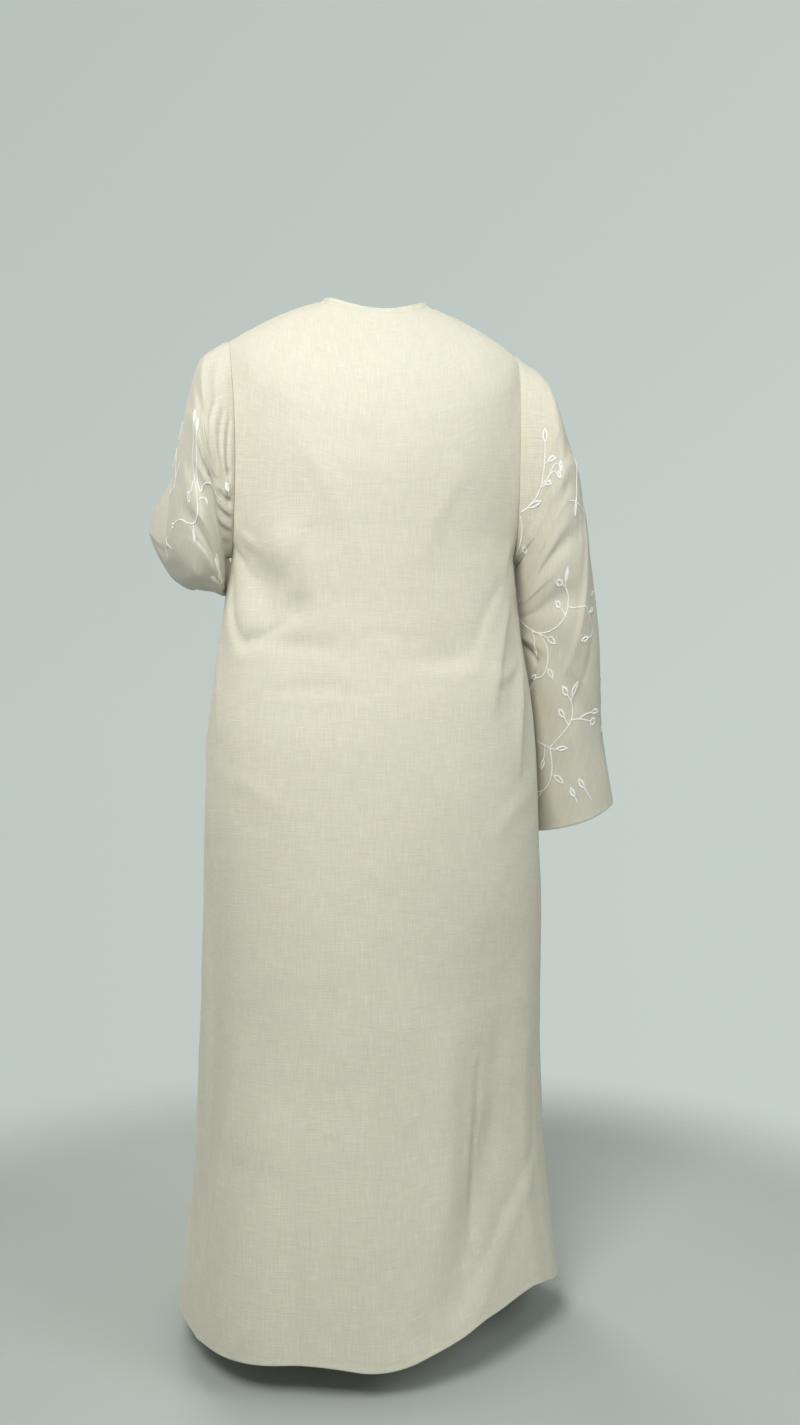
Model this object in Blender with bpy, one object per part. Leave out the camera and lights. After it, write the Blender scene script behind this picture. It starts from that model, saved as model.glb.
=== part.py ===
"""A long open abaya cloak in plain-weave linen-look cloth, empty and held in the shape it has when worn.

Metres, +Z up. The front faces -Y and the wearer's left is +X. The origin is midway between the two points
where the shoulder seams meet the neck, on the line that rests on the wearer's shoulders.

The body is a stack of soft rings from hem to neck. A ring is cut into the back and the two fronts at the
side seams, and higher up it opens round each armhole and closes again along the shoulder seam. A sleeve is
a tube through rings held by four rails: outer, back, inner and front.
"""

import math

import bmesh
import bpy
import numpy as np

# Cloth
WALL = 0.002
SEAM_GAP = 0.0003

# Cut of the garment
LENGTH = 1.372
SHOULDER_HALF_WIDTH = 0.203
SHOULDER_DROP = 0.060
NECK_HALF_WIDTH = 0.080
UNDERARM_HALF_WIDTH = 0.198
ARMHOLE_HEIGHT = 0.297
ARMHOLE_HALF_DEPTH = 0.058
ARMHOLE_SPREAD = 0.138
ARMHOLE_SWELL = 0.016
BINDING_HEIGHT = 0.010
BINDING_WALL = 0.003
BINDING_LIFT = 0.6
FRONT_GAP_TOP = 0.004
FRONT_GAP_HEM = 0.024

UNDERARM_DROP = SHOULDER_DROP + ARMHOLE_HEIGHT

# How finely the surfaces are sampled. A sleeve has two columns for each row of its armhole.
SKIRT_ROWS = 24
ARMHOLE_ROWS = 11
SHOULDER_ROWS = 4
BACK_COLUMNS = 32
FRONT_COLUMNS = 14
SLEEVE_ROWS = 24
SLEEVE_EASE_ROWS = 4
SLEEVE_COLUMNS = 2 * ARMHOLE_ROWS

# The skirt and waist, from the hem up. Sizes in metres.
# name, height of the ring, half width, depth at the back, depth at the front
SKIRT = [
    ("hem", -LENGTH, 0.268, 0.240, 0.228),
    ("shin", -1.250, 0.254, 0.217, 0.210),
    ("calf", -1.120, 0.245, 0.196, 0.195),
    ("knee", -0.980, 0.240, 0.180, 0.182),
    ("thigh", -0.820, 0.237, 0.168, 0.172),
    ("hip", -0.680, 0.235, 0.160, 0.164),
    ("high hip", -0.580, 0.230, 0.150, 0.158),
    ("waist", -0.500, 0.220, 0.138, 0.152),
    ("under bust", -0.430, 0.209, 0.130, 0.149),
    ("underarm", -UNDERARM_DROP, UNDERARM_HALF_WIDTH, 0.128, 0.147),
]

# The bodice above the underarm. The station runs from 0 at the underarm past 1 at the shoulder point to 1.5
# at the neck. The side columns are the soft shape under the shoulder, which the true edge only bends nearby.
# name, station, half width, side height, centre back's height and depth, centre front's height and depth
BODICE = [
    ("underarm", 0.00, 0.198, -0.357, -0.357, 0.128, -0.357, 0.147),
    ("low armhole", 0.25, 0.201, -0.305, -0.306, 0.132, -0.318, 0.146),
    ("mid armhole", 0.50, 0.210, -0.215, -0.252, 0.134, -0.276, 0.141),
    ("high armhole", 0.75, 0.209, -0.130, -0.198, 0.129, -0.232, 0.130),
    ("shoulder point", 1.00, 0.194, -0.068, -0.142, 0.116, -0.186, 0.116),
    ("mid shoulder", 1.25, 0.141, -0.026, -0.084, 0.090, -0.139, 0.103),
    ("neck", 1.50, 0.080, 0.000, -0.028, 0.058, -0.094, 0.092),
]
NECK_STATION = 1.5
SHOULDER_CURVE = 1.3
EDGE_FADE = 3
FOLD_FADE = 3
FOLD_END_SHARE = 0.55
SLEEVE_FOLD_FADE = 8
BENT_CUFF_POINT = 0.6
CUFF_POINT_RISE = 3
HEM_RISE_REACH = 0.5

# The sharpest turn that a seam's mitre allows for, as the cosine of half of it.
MITRE_LIMIT = 0.6

# Rises of the hem, which hangs higher behind the right leg.
# angle round the body, rise
HEM_RISES = [
    (0, 0.0), (30, 0.0), (50, 0.003), (66, 0.007), (84, -0.001), (100, 0.014), (118, 0.037), (140, 0.041),
    (165, 0.018), (180, 0.008), (270, 0.0), (360, 0.0),
]

# The largest folds of the body, as a run from one point to another. A minus height is a trough.
# name, angle and height of the start, angle and height of the end, width, height
BODY_FOLDS = [
    ("hollow behind the right knee", 128, -0.960, 138, -1.420, 0.115, -0.030),
    ("edge of that hollow", 109, -1.000, 104, -1.270, 0.026, 0.007),
    ("drag across the hollow", 126, -1.130, 100, -1.340, 0.030, -0.008),
    ("fullness behind the left calf", 46, -1.150, 44, -1.420, 0.085, 0.022),
    ("left side flute", 20, -0.760, 17, -1.260, 0.040, -0.008),
    ("right side flute", 163, -0.960, 168, -1.400, 0.036, -0.004),
    ("bag under the left arm", 28, -0.375, 46, -0.428, 0.032, -0.012),
    ("turn of that bag", 46, -0.428, 62, -0.418, 0.032, -0.009),
    ("swell over that bag", 40, -0.335, 54, -0.372, 0.034, 0.008),
    ("waist slack left", 34, -0.490, 72, -0.496, 0.034, -0.006),
    ("waist slack lower left", 44, -0.560, 74, -0.562, 0.030, -0.004),
    ("waist slack right", 104, -0.492, 124, -0.484, 0.034, -0.005),
    ("drag from the right arm", 160, -0.430, 140, -0.560, 0.034, -0.007),
    ("second drag from the right arm", 172, -0.480, 152, -0.640, 0.030, -0.005),
    ("front left long fold", 312, -0.620, 306, -1.420, 0.050, 0.014),
    ("front left hollow", 333, -0.760, 330, -1.420, 0.045, -0.012),
    ("front right long fold", 230, -0.700, 235, -1.420, 0.050, 0.013),
    ("front right hollow", 208, -0.640, 211, -1.420, 0.045, -0.012),
    ("front left drag", 338, -0.400, 318, -0.520, 0.034, -0.007),
    ("front right drag", 202, -0.410, 222, -0.540, 0.034, -0.007),
]

# Rings of the sleeves: where each of the four rails lies, as x, y and z on the wearer's left.
# name, outer rail, back rail, inner rail, front rail
SLEEVE_HANGING = [
    ("head", (0.240, 0, -0.090), (0.236, 0.082, -0.214), (0.207, 0, -0.361), (0.236, -0.082, -0.214)),
    ("cap", (0.258, 0, -0.140), (0.247, 0.088, -0.256), (0.207, 0, -0.378), (0.247, -0.090, -0.256)),
    ("biceps", (0.283, 0, -0.210), (0.252, 0.088, -0.306), (0.211, -0.002, -0.412), (0.250, -0.093, -0.306)),
    ("upper elbow", (0.306, -0.006, -0.315), (0.264, 0.079, -0.382),
     (0.217, -0.010, -0.451), (0.258, -0.094, -0.382)),
    ("elbow", (0.331, -0.016, -0.460), (0.275, 0.060, -0.497),
     (0.228, -0.020, -0.530), (0.275, -0.096, -0.497)),
    ("forearm", (0.342, -0.038, -0.570), (0.284, 0.036, -0.600),
     (0.231, -0.042, -0.625), (0.284, -0.116, -0.600)),
    ("cuff", (0.368, -0.062, -0.698), (0.303, 0.016, -0.726),
     (0.235, -0.062, -0.744), (0.303, -0.142, -0.728)),
]
SLEEVE_BENT = [
    ("head", (0.243, 0, -0.089), (0.234, 0.082, -0.218), (0.207, 0, -0.361), (0.234, -0.082, -0.202)),
    ("cap", (0.258, 0, -0.139), (0.240, 0.086, -0.264), (0.206, -0.005, -0.375), (0.242, -0.088, -0.224)),
    ("biceps", (0.271, 0, -0.205), (0.240, 0.084, -0.316), (0.206, -0.018, -0.386), (0.246, -0.094, -0.242)),
    ("elbow top", (0.281, -0.006, -0.266), (0.238, 0.070, -0.360),
     (0.206, -0.036, -0.391), (0.248, -0.104, -0.252)),
    ("elbow", (0.286, -0.030, -0.308), (0.242, 0.032, -0.391),
     (0.197, -0.068, -0.389), (0.250, -0.122, -0.256)),
    ("forearm", (0.290, -0.096, -0.326), (0.246, -0.040, -0.396),
     (0.190, -0.120, -0.366), (0.256, -0.158, -0.246)),
    ("wrist", (0.299, -0.182, -0.316), (0.255, -0.150, -0.382),
     (0.206, -0.202, -0.330), (0.266, -0.218, -0.226)),
    ("cuff", (0.316, -0.286, -0.286), (0.266, -0.268, -0.366),
     (0.228, -0.292, -0.302), (0.280, -0.300, -0.200)),
]

# The largest folds of the sleeves. The turn is 0 on the inner rail, 90 at the back and 180 outside, and the
# run is the share of the sleeve's length.
# name, turn and run of the start, turn and run of the end, width, height
HANGING_FOLDS = [
    ("slack inside the elbow", 48, 0.42, 110, 0.52, 0.016, -0.007),
    ("second slack inside the elbow", 44, 0.55, 96, 0.62, 0.016, -0.006),
    ("long diagonal behind the arm", 70, 0.20, 150, 0.48, 0.018, 0.006),
    ("lower diagonal", 60, 0.66, 128, 0.90, 0.022, -0.006),
    ("front of the elbow", 300, 0.44, 240, 0.54, 0.016, -0.006),
    ("front diagonal", 290, 0.24, 214, 0.46, 0.018, 0.005),
    ("fullness before the underarm", 318, 0.10, 316, 0.34, 0.022, 0.006),
    ("fullness behind the underarm", 44, 0.10, 48, 0.30, 0.022, 0.005),
]
BENT_FOLDS = [
    ("gather above the underarm", 62, 0.08, 140, 0.17, 0.014, -0.008),
    ("second gather", 66, 0.15, 150, 0.28, 0.014, 0.007),
    ("third gather", 56, 0.22, 130, 0.36, 0.014, -0.007),
    ("bend across the elbow", 70, 0.42, 140, 0.48, 0.016, -0.006),
    ("crook of the elbow", 300, 0.40, 240, 0.46, 0.014, -0.008),
    ("second crook fold", 290, 0.50, 232, 0.56, 0.014, 0.006),
    ("fall to the cuff", 100, 0.62, 130, 0.98, 0.024, 0.007),
]

LINEN = (0.66, 0.63, 0.52)
LINEN_ROUGHNESS = 0.92


def follow(stations, values, where):
    """Reads values between stations off a smooth curve that never passes beyond its neighbours."""
    stations = np.asarray(stations, float)
    values = np.asarray(values, float)
    step = np.diff(stations)
    slope = np.diff(values) / step
    product = slope[1:] * slope[:-1]
    total = np.where(product > 0, slope[1:] + slope[:-1], 1.0)
    middle = np.where(product > 0, 2 * product / total, 0.0)
    tangent = np.concatenate([slope[:1], middle, slope[-1:]])
    i = np.clip(np.searchsorted(stations, where) - 1, 0, len(step) - 1)
    u = (where - stations[i]) / step[i]
    return (
        values[i] * (1 + 2 * u) * (1 - u) ** 2
        + tangent[i] * step[i] * u * (1 - u) ** 2
        + values[i + 1] * u**2 * (3 - 2 * u)
        + tangent[i + 1] * step[i] * u**2 * (u - 1)
    )


def unit(vectors):
    return vectors / np.linalg.norm(vectors, axis=-1, keepdims=True)


def armhole(turn):
    """A point of the left armhole's edge: turn 0 at the underarm, 90 degrees at the back, 180 on top."""
    rise = (1 - math.cos(turn)) / 2
    half_width = UNDERARM_HALF_WIDTH + (SHOULDER_HALF_WIDTH - UNDERARM_HALF_WIDTH) * rise
    half_width += ARMHOLE_SWELL * math.sin(turn) ** 2
    depth = ARMHOLE_HALF_DEPTH * math.sin(turn)
    half_width *= math.sqrt(1 - (depth / ARMHOLE_SPREAD) ** 2)
    return half_width, depth, -UNDERARM_DROP + ARMHOLE_HEIGHT * rise


def ring_rows():
    """Each row from hem to neck: its edge, half width, side height, then the centres' heights and depths."""
    rows = []
    heights, widths, backs, fronts = list(zip(*SKIRT))[1:]
    for k in range(SKIRT_ROWS):
        height = heights[0] + (heights[-1] - heights[0]) * k / SKIRT_ROWS
        width, back, front = (follow(heights, column, height) for column in (widths, backs, fronts))
        rows.append(((width, 0.0, height), width, height, height, back, height, front))
    stations, *columns = list(zip(*BODICE))[1:]
    for k in range(ARMHOLE_ROWS + SHOULDER_ROWS + 1):
        if k < ARMHOLE_ROWS:
            station = k / ARMHOLE_ROWS
            edge = armhole(math.pi * station)
        else:
            share = (k - ARMHOLE_ROWS) / SHOULDER_ROWS
            station = 1 + (NECK_STATION - 1) * share
            width = SHOULDER_HALF_WIDTH + (NECK_HALF_WIDTH - SHOULDER_HALF_WIDTH) * share
            edge = (width, 0.0, -SHOULDER_DROP * (1 - share) ** SHOULDER_CURVE)
        rows.append((edge, *(follow(stations, column, station) for column in columns)))
    return rows


def along_run(across, up, run, size):
    """How much of a fold is felt at a place: full on the run's line, fading to its sides and its two ends."""
    (x0, y0), (x1, y1) = run
    length = math.hypot(x1 - x0, y1 - y0)
    share = ((across - x0) * (x1 - x0) + (up - y0) * (y1 - y0)) / length**2
    nearest = min(max(share, 0.0), 1.0)
    aside = math.hypot(across - x0 - nearest * (x1 - x0), up - y0 - nearest * (y1 - y0))
    swell = FOLD_END_SHARE + (1 - FOLD_END_SHARE) * math.sin(math.pi * nearest)
    return swell * math.exp(-((aside / size) ** 2))


def body_fold(angle, height, radius):
    """How far the body's cloth stands out of its ring at a place."""
    out = 0.0
    turn = math.degrees(angle) % 360
    for _, start_angle, start_height, end_angle, end_height, size, stand in BODY_FOLDS:
        start = (math.radians(start_angle) * radius, start_height)
        run = (start, (math.radians(end_angle) * radius, end_height))
        out += stand * along_run(math.radians(turn) * radius, height, run, size)
    return out


def ring_point(row, angle):
    """A point of a body ring: angle 0 at the left side, 90 degrees at centre back, 270 at centre front."""
    (edge_x, edge_y, edge_z), half_width, side_z, back_z, back, front_z, front = row
    behind = math.sin(angle) >= 0
    depth = back if behind else front
    centre_z = back_z if behind else front_z
    opening = math.asin(edge_y / depth)
    inward = max(0.0, (abs(math.sin(angle)) - math.sin(opening)) / (1 - math.sin(opening)))
    height = side_z + (centre_z - side_z) * inward**2
    near_hem = max(0.0, 1 - (height + LENGTH) / HEM_RISE_REACH)
    height += follow(*zip(*HEM_RISES), math.degrees(angle) % 360) * near_hem**2
    kept = 1.0 if edge_z <= -UNDERARM_DROP else min(1.0, inward * FOLD_FADE)
    stand = kept * body_fold(angle, height, (half_width + depth) / 2)
    facing = unit(np.array([math.cos(angle) / half_width, math.sin(angle) / depth, 0.0]))
    ring = np.array([half_width * math.cos(angle), depth * math.sin(angle), height])
    to_edge = np.array([edge_x - half_width * math.cos(opening), 0.0, edge_z - side_z])
    to_edge[0] *= math.copysign(1, math.cos(angle))
    return ring + facing * stand + to_edge * (1 - inward) ** EDGE_FADE


def opening_angle(row, depth):
    return math.asin(row[0][1] / depth)


def panel_grid(rows, start, end, columns):
    """The points of a body panel between two angles, each a function of the row."""
    grid = []
    for row in rows:
        first = start(row)
        last = end(row)
        grid.append([ring_point(row, first + (last - first) * c / columns) for c in range(columns + 1)])
    return np.array(grid)


def grid_normals(grid, closed=False):
    """Unit normals of a grid, outward where columns run anticlockwise seen from above and rows run up."""
    along = np.gradient(grid, axis=0)
    if closed:
        around = np.roll(grid, -1, axis=1) - np.roll(grid, 1, axis=1)
    else:
        around = np.gradient(grid, axis=1)
    return unit(np.cross(around, along))


def drawn_out(value, slack):
    """Draws a round out to points at its four rails, as a slack cuff hangs."""
    return math.copysign(abs(value) ** (1 + slack), value)


def sleeve_grid(table, folds, side, pointed=0.0):
    """The rings of a sleeve from the armhole's edge to the cuff, on the side it is sewn to."""
    rails = list(zip(*table))[1:]
    starts = [armhole(turn) for turn in (math.pi, math.pi / 2, 0, -math.pi / 2)]
    paths = [np.array([start, *rail]) for start, rail in zip(starts, rails)]
    length = np.linalg.norm(np.diff(paths[0], axis=0), axis=1).sum()
    stations = np.linspace(0, 1, len(table) + 1)
    grid = []
    for k in range(SLEEVE_ROWS + 1):
        run = k / SLEEVE_ROWS
        outer, back, inner, front = (
            np.array([follow(stations, path[:, axis], run) for axis in range(3)]) for path in paths
        )
        centre = (outer + inner) / 2
        bow = (back + front) / 2 - centre
        radius = (np.linalg.norm(outer - inner) + np.linalg.norm(back - front)) / 4
        ring = []
        for c in range(SLEEVE_COLUMNS):
            turn = 2 * math.pi * c / SLEEVE_COLUMNS
            slack = pointed * run**CUFF_POINT_RISE
            inward, behind = (drawn_out(value, slack) for value in (math.cos(turn), math.sin(turn)))
            arm = (inner - outer) / 2 * inward + (back - front) / 2 * behind
            stand = sum(
                height * along_run(
                    turn * radius,
                    run * length,
                    ((math.radians(t0) * radius, r0 * length), (math.radians(t1) * radius, r1 * length)),
                    size,
                )
                for _, t0, r0, t1, r1, size, height in folds
            ) * min(1.0, run * SLEEVE_FOLD_FADE)
            ring.append(centre + bow * math.sin(turn) ** 2 + arm * (1 + stand / radius))
        grid.append(ring)
    grid = np.array(grid)
    edge = np.array([armhole(2 * math.pi * c / SLEEVE_COLUMNS) for c in range(SLEEVE_COLUMNS)])
    to_edge = edge - grid[0]
    for k, line in enumerate(grid):
        line += to_edge * max(0.0, 1 - k / SLEEVE_EASE_ROWS)
    return grid * (side, 1, 1)


def solid(name, outer, inner, closed=False):
    """One closed wall between an outer and an inner grid of points."""
    rows, columns = outer.shape[:2]
    mesh = bpy.data.meshes.new(name)
    work = bmesh.new()
    out, into = ([[work.verts.new(point) for point in line] for line in grid] for grid in (outer, inner))

    def close(here, there):
        """Closes the wall's edge between two places, split the same way on both sides of a seam."""
        low, high = sorted((here, there), key=lambda place: out[place[0]][place[1]].co.z)
        low_out, low_in = (layer[low[0]][low[1]] for layer in (out, into))
        high_out, high_in = (layer[high[0]][high[1]] for layer in (out, into))
        work.faces.new((low_out, high_out, high_in))
        work.faces.new((low_out, high_in, low_in))

    spans = columns if closed else columns - 1
    for c in range(spans):
        d = (c + 1) % columns
        for r in range(rows - 1):
            work.faces.new((out[r][c], out[r][d], out[r + 1][d], out[r + 1][c]))
            work.faces.new((into[r][c], into[r + 1][c], into[r + 1][d], into[r][d]))
        for r in (0, rows - 1):
            close((r, c), (r, d))
    if not closed:
        for c in (0, columns - 1):
            for r in range(rows - 1):
                close((r, c), (r + 1, c))
    bmesh.ops.recalc_face_normals(work, faces=work.faces)
    work.to_mesh(mesh)
    work.free()
    mesh.shade_smooth()
    made = bpy.data.objects.new(name, mesh)
    bpy.context.scene.collection.objects.link(made)
    material = bpy.data.materials.new(name + "_cloth")
    material.use_nodes = True
    shader = material.node_tree.nodes["Principled BSDF"]
    shader.inputs["Base Color"].default_value = (*LINEN, 1)
    shader.inputs["Roughness"].default_value = LINEN_ROUGHNESS
    shader.inputs["Metallic"].default_value = 0.0
    mesh.materials.append(material)
    return made


class Panel:
    """A piece of cloth: its grid of outer points, the way its wall goes inward, how its edges are pulled."""

    def __init__(self, grid, closed=False, flip=1):
        self.grid = grid
        self.closed = closed
        self.normals = grid_normals(grid, closed) * flip
        self.depths = np.full(grid.shape[:2], WALL)
        self.shifts = np.zeros_like(grid)

    def build(self, name):
        outer = self.grid + self.shifts
        inner = outer - self.normals * self.depths[..., None]
        return solid(name, outer, inner, self.closed)


def join(first, second, pairs):
    """Mitres the walls of two pieces along a seam and leaves the seam's gap between them.

    Each pair holds a place on the first piece's edge and the one inside it, then the same two on the second.
    """
    line = np.array([first.grid[pair[0]] for pair in pairs])
    tangents = unit(np.gradient(line, axis=0))
    for (here, inside, there, beyond), tangent in zip(pairs, tangents):
        apart = unit(first.grid[inside] - first.grid[here]) - unit(second.grid[beyond] - second.grid[there])
        both = unit(first.normals[here] + second.normals[there])
        lean = max(MITRE_LIMIT, float(both @ first.normals[here]))
        aside = unit(np.cross(both, tangent))
        if aside @ apart < 0:
            aside = -aside
        first.shifts[here] += aside * SEAM_GAP / 2
        second.shifts[there] -= aside * SEAM_GAP / 2
        for piece, place in ((first, here), (second, there)):
            piece.normals[place] = both
            piece.depths[place] = WALL / lean


def join_corner(back, back_place, front, front_place, sleeve, column, inward_row):
    """Gives the three pieces that meet at a point of the armhole the same wall and pulls the sleeve clear."""
    pieces = ((back, back_place), (front, front_place), (sleeve, (0, column)))
    both = unit(sum(piece.normals[place] for piece, place in pieces))
    for piece, place in pieces:
        piece.normals[place] = both
        piece.depths[place] = WALL
    for piece, place in pieces[:2]:
        inside = (inward_row, place[1])
        piece.shifts[place] += unit(piece.grid[inside] - piece.grid[place]) * SEAM_GAP / 2
    away = sleeve.grid[1, column] - sleeve.grid[0, column]
    sleeve.shifts[0, column] += unit(away - both * (away @ both)) * SEAM_GAP


def sew_side(back, back_column, front, front_column, sleeve):
    """Joins the back, one front and one sleeve along the side seam, the armhole and the shoulder seam."""
    underarm = SKIRT_ROWS
    point = SKIRT_ROWS + ARMHOLE_ROWS
    top = point + SHOULDER_ROWS
    inside = back_column + (1 if back_column == 0 else -1)
    front_inside = front_column + (1 if front_column == 0 else -1)
    for first, last in ((0, underarm), (point, top)):
        rows = range(first, last + 1)
        pairs = [((r, back_column), (r, inside), (r, front_column), (r, front_inside)) for r in rows]
        join(back, front, pairs)
    sides = ((back, back_column, inside, 1), (front, front_column, front_inside, -1))
    for piece, column, within, turn in sides:
        pairs = []
        for k in range(1, ARMHOLE_ROWS):
            row = underarm + k
            place = turn * k % SLEEVE_COLUMNS
            pairs.append(((row, column), (row, within), (0, place), (1, place)))
        join(piece, sleeve, pairs)
    join_corner(back, (underarm, back_column), front, (underarm, front_column), sleeve, 0, underarm - 1)
    join_corner(back, (point, back_column), front, (point, front_column), sleeve, ARMHOLE_ROWS, point + 1)


def build_binding(panels):
    """A narrow strip that carries the neck edge of the three panels a little higher, open at centre front."""
    edge = np.concatenate([panels[0].grid[-1], panels[1].grid[-1][1:], panels[2].grid[-1][1:]])
    below = np.concatenate([panels[0].grid[-2], panels[1].grid[-2][1:], panels[2].grid[-2][1:]])
    climb = unit(edge - below)
    upright = unit(climb + np.array([0, 0, BINDING_LIFT]))
    grid = np.array([
        edge + climb * SEAM_GAP,
        edge + climb * SEAM_GAP + (climb + upright) / 2 * BINDING_HEIGHT / 2,
        edge + climb * SEAM_GAP + (climb + 3 * upright) / 4 * BINDING_HEIGHT,
    ])
    strip = Panel(grid)
    strip.depths[1:] = BINDING_WALL
    return strip


def main():
    for obj in list(bpy.data.objects):
        bpy.data.objects.remove(obj)
    rows = ring_rows()
    quarter = math.pi / 2

    def front_gap(row):
        width, height = row[1:3]
        share = (height + LENGTH) / LENGTH
        return (FRONT_GAP_HEM + (FRONT_GAP_TOP - FRONT_GAP_HEM) * share) / 2 / width

    def behind(row):
        return opening_angle(row, row[4])

    def before(row):
        return opening_angle(row, row[6])

    back = Panel(panel_grid(rows, behind, lambda row: 2 * quarter - behind(row), BACK_COLUMNS))
    front_right = Panel(panel_grid(
        rows, lambda row: 2 * quarter + before(row), lambda row: 3 * quarter - front_gap(row), FRONT_COLUMNS
    ))
    front_left = Panel(panel_grid(
        rows, lambda row: 3 * quarter + front_gap(row), lambda row: 4 * quarter - before(row), FRONT_COLUMNS
    ))
    sleeve_left = Panel(sleeve_grid(SLEEVE_BENT, BENT_FOLDS, 1, BENT_CUFF_POINT), closed=True)
    sleeve_right = Panel(sleeve_grid(SLEEVE_HANGING, HANGING_FOLDS, -1), closed=True, flip=-1)
    binding = build_binding((front_left, back, front_right))
    sew_side(back, 0, front_left, FRONT_COLUMNS, sleeve_left)
    sew_side(back, BACK_COLUMNS, front_right, 0, sleeve_right)
    pieces = {
        "back": back,
        "front_left": front_left,
        "front_right": front_right,
        "sleeve_left": sleeve_left,
        "sleeve_right": sleeve_right,
        "neck_binding": binding,
    }
    for name, piece in pieces.items():
        piece.build(name)


main()
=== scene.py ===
"""A long open abaya cloak in oatmeal linen-look cloth, with white vines worked on its sleeves.

Each piece of cloth is a thin shell on the form of its solid, drawn again from the same sizes and sampled
finely enough for the smaller creases. Metres, +Z up, front at -Y, the wearer's left at +X.
"""

import math

import bpy
import numpy as np
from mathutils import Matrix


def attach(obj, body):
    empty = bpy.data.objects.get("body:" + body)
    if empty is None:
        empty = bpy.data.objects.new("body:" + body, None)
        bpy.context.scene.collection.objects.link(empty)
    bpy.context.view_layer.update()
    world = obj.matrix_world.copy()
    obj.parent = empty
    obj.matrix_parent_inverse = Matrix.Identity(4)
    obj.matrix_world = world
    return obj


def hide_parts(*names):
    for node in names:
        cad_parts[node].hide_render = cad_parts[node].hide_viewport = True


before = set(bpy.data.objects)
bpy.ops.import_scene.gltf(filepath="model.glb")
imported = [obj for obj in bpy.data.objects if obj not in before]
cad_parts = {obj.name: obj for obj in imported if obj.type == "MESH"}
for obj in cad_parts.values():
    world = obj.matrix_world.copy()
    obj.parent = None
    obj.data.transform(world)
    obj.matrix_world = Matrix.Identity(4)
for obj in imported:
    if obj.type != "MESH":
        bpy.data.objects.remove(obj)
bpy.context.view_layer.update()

# Cut of the garment, as in its solids
LENGTH = 1.372
SHOULDER_HALF_WIDTH = 0.203
SHOULDER_DROP = 0.060
SHOULDER_CURVE = 1.3
NECK_HALF_WIDTH = 0.080
UNDERARM_HALF_WIDTH = 0.198
ARMHOLE_HEIGHT = 0.297
ARMHOLE_HALF_DEPTH = 0.058
ARMHOLE_SPREAD = 0.138
ARMHOLE_SWELL = 0.016
BINDING_HEIGHT = 0.010
BINDING_LIFT = 0.6
BINDING_GAP = 0.0002
BINDING_LAP = 8
FRONT_GAP_TOP = 0.004
FRONT_GAP_HEM = 0.024
NECK_STATION = 1.5
EDGE_FADE = 3
FOLD_FADE = 3
HEM_RISE_REACH = 0.5
JOIN_EASE = 9
BENT_CUFF_POINT = 0.6
CUFF_POINT_RISE = 3
UNDERARM_DROP = SHOULDER_DROP + ARMHOLE_HEIGHT

# Cloth and its turned edges
CLOTH = 0.0012
BINDING_CLOTH = 0.0022
TURNED_CLOTH = 0.0024
HEM_TURN = 0.0075
CUFF_TURN = 0.008
FRONT_TURN = 0.012
EDGE_ROUND = 0.7
SEAM_DIP = 0.0002
SEAM_DIP_WIDTH = 0.0016
STITCH_GROOVE = 0.00035
STITCH_GROOVE_WIDTH = 0.0014
TURN_LIFT = 0.0003
TURN_EDGE = 0.0005
THREAD_LIFT = 0.00022
VINE_LIFT = 0.0003

# How sharply folds and creases fade, and how soon the cloth takes them up from an underarm or a sleeve's head
FOLD_CRISPNESS = 2.0
CREASE_CRISPNESS = 1.6
UNDERARM_CALM = 0.028
UNDERARM_REACH = 0.03
SLEEVE_HEAD_CALM = 40
SLEEVE_HEAD_EASE = 6

# Small swells everywhere: height, cells round the form, height of a cell, seed
BODY_RUMPLES = [(0.0016, 11, 0.17, 4), (0.0009, 23, 0.075, 9), (0.0004, 46, 0.031, 15)]
SLEEVE_RUMPLES = [(0.0014, 7, 0.085, 0), (0.0007, 15, 0.034, 1)]

# The linen's looks: slubs as width and length of a streak, its shift, its mask's ends, its tint and amount
SLUBS = [
    (0.0009, 0.030, 11.0, 0.46, 0.70, "Pale", 0.60),
    (0.0260, 0.0009, 23.0, 0.46, 0.70, "Pale", 0.50),
    (0.0010, 0.036, 37.0, 0.50, 0.74, "Slate", 0.70),
    (0.0340, 0.0010, 41.0, 0.50, 0.74, "Rosy", 0.70),
    (0.0013, 0.060, 53.0, 0.56, 0.74, "Rosy", 0.50),
    (0.0500, 0.0013, 67.0, 0.56, 0.74, "Slate", 0.50),
]
TONE_DRIFT = (0.22, 0.30, 3.1, 0.3, 0.7)
THICK_THREADS = [(0.0015, 0.055, 11.0, 0.5, 0.75), (0.045, 0.0015, 23.0, 0.5, 0.75)]
WEAVE_RELIEF = 0.00024

# The room: the floor's disc and where it fades out, the painted light that lightens the floor towards the
# front and darkens it towards the back, and the backdrop's painted shades
FLOOR_Z = -1.415
FLOOR_RADIUS = 1.30
FLOOR_CORNERS = 96
FLOOR_FADE = (1.27, 0.80)
FLOOR_PAINTED_LIGHT = (-0.9, 0.8, 1.07, 1.19)
WORLD_GLOW = 0.58
PAPER_SHADE = (-0.138, 0.972)
PAPER_SHADE_UP = -0.140

# How finely the cloth is sampled: rows and columns, the metres they span, and the steps beside an edge
SKIRT_ROWS = 168
ARMHOLE_ROWS = 64
SHOULDER_ROWS = 26
BACK_COLUMNS = 132
FRONT_COLUMNS = 62
SLEEVE_ROWS = 214
SLEEVE_COLUMNS = 192
SHOULDER_SPAN = 0.14
SLEEVE_SPAN = 0.58
BACK_SPAN = 0.74
FRONT_SPAN = 0.38
EDGE_STEPS = (0.0, 0.0010, 0.0024, 0.0045, 0.0075, 0.0095, 0.0120, 0.0145)

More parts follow.
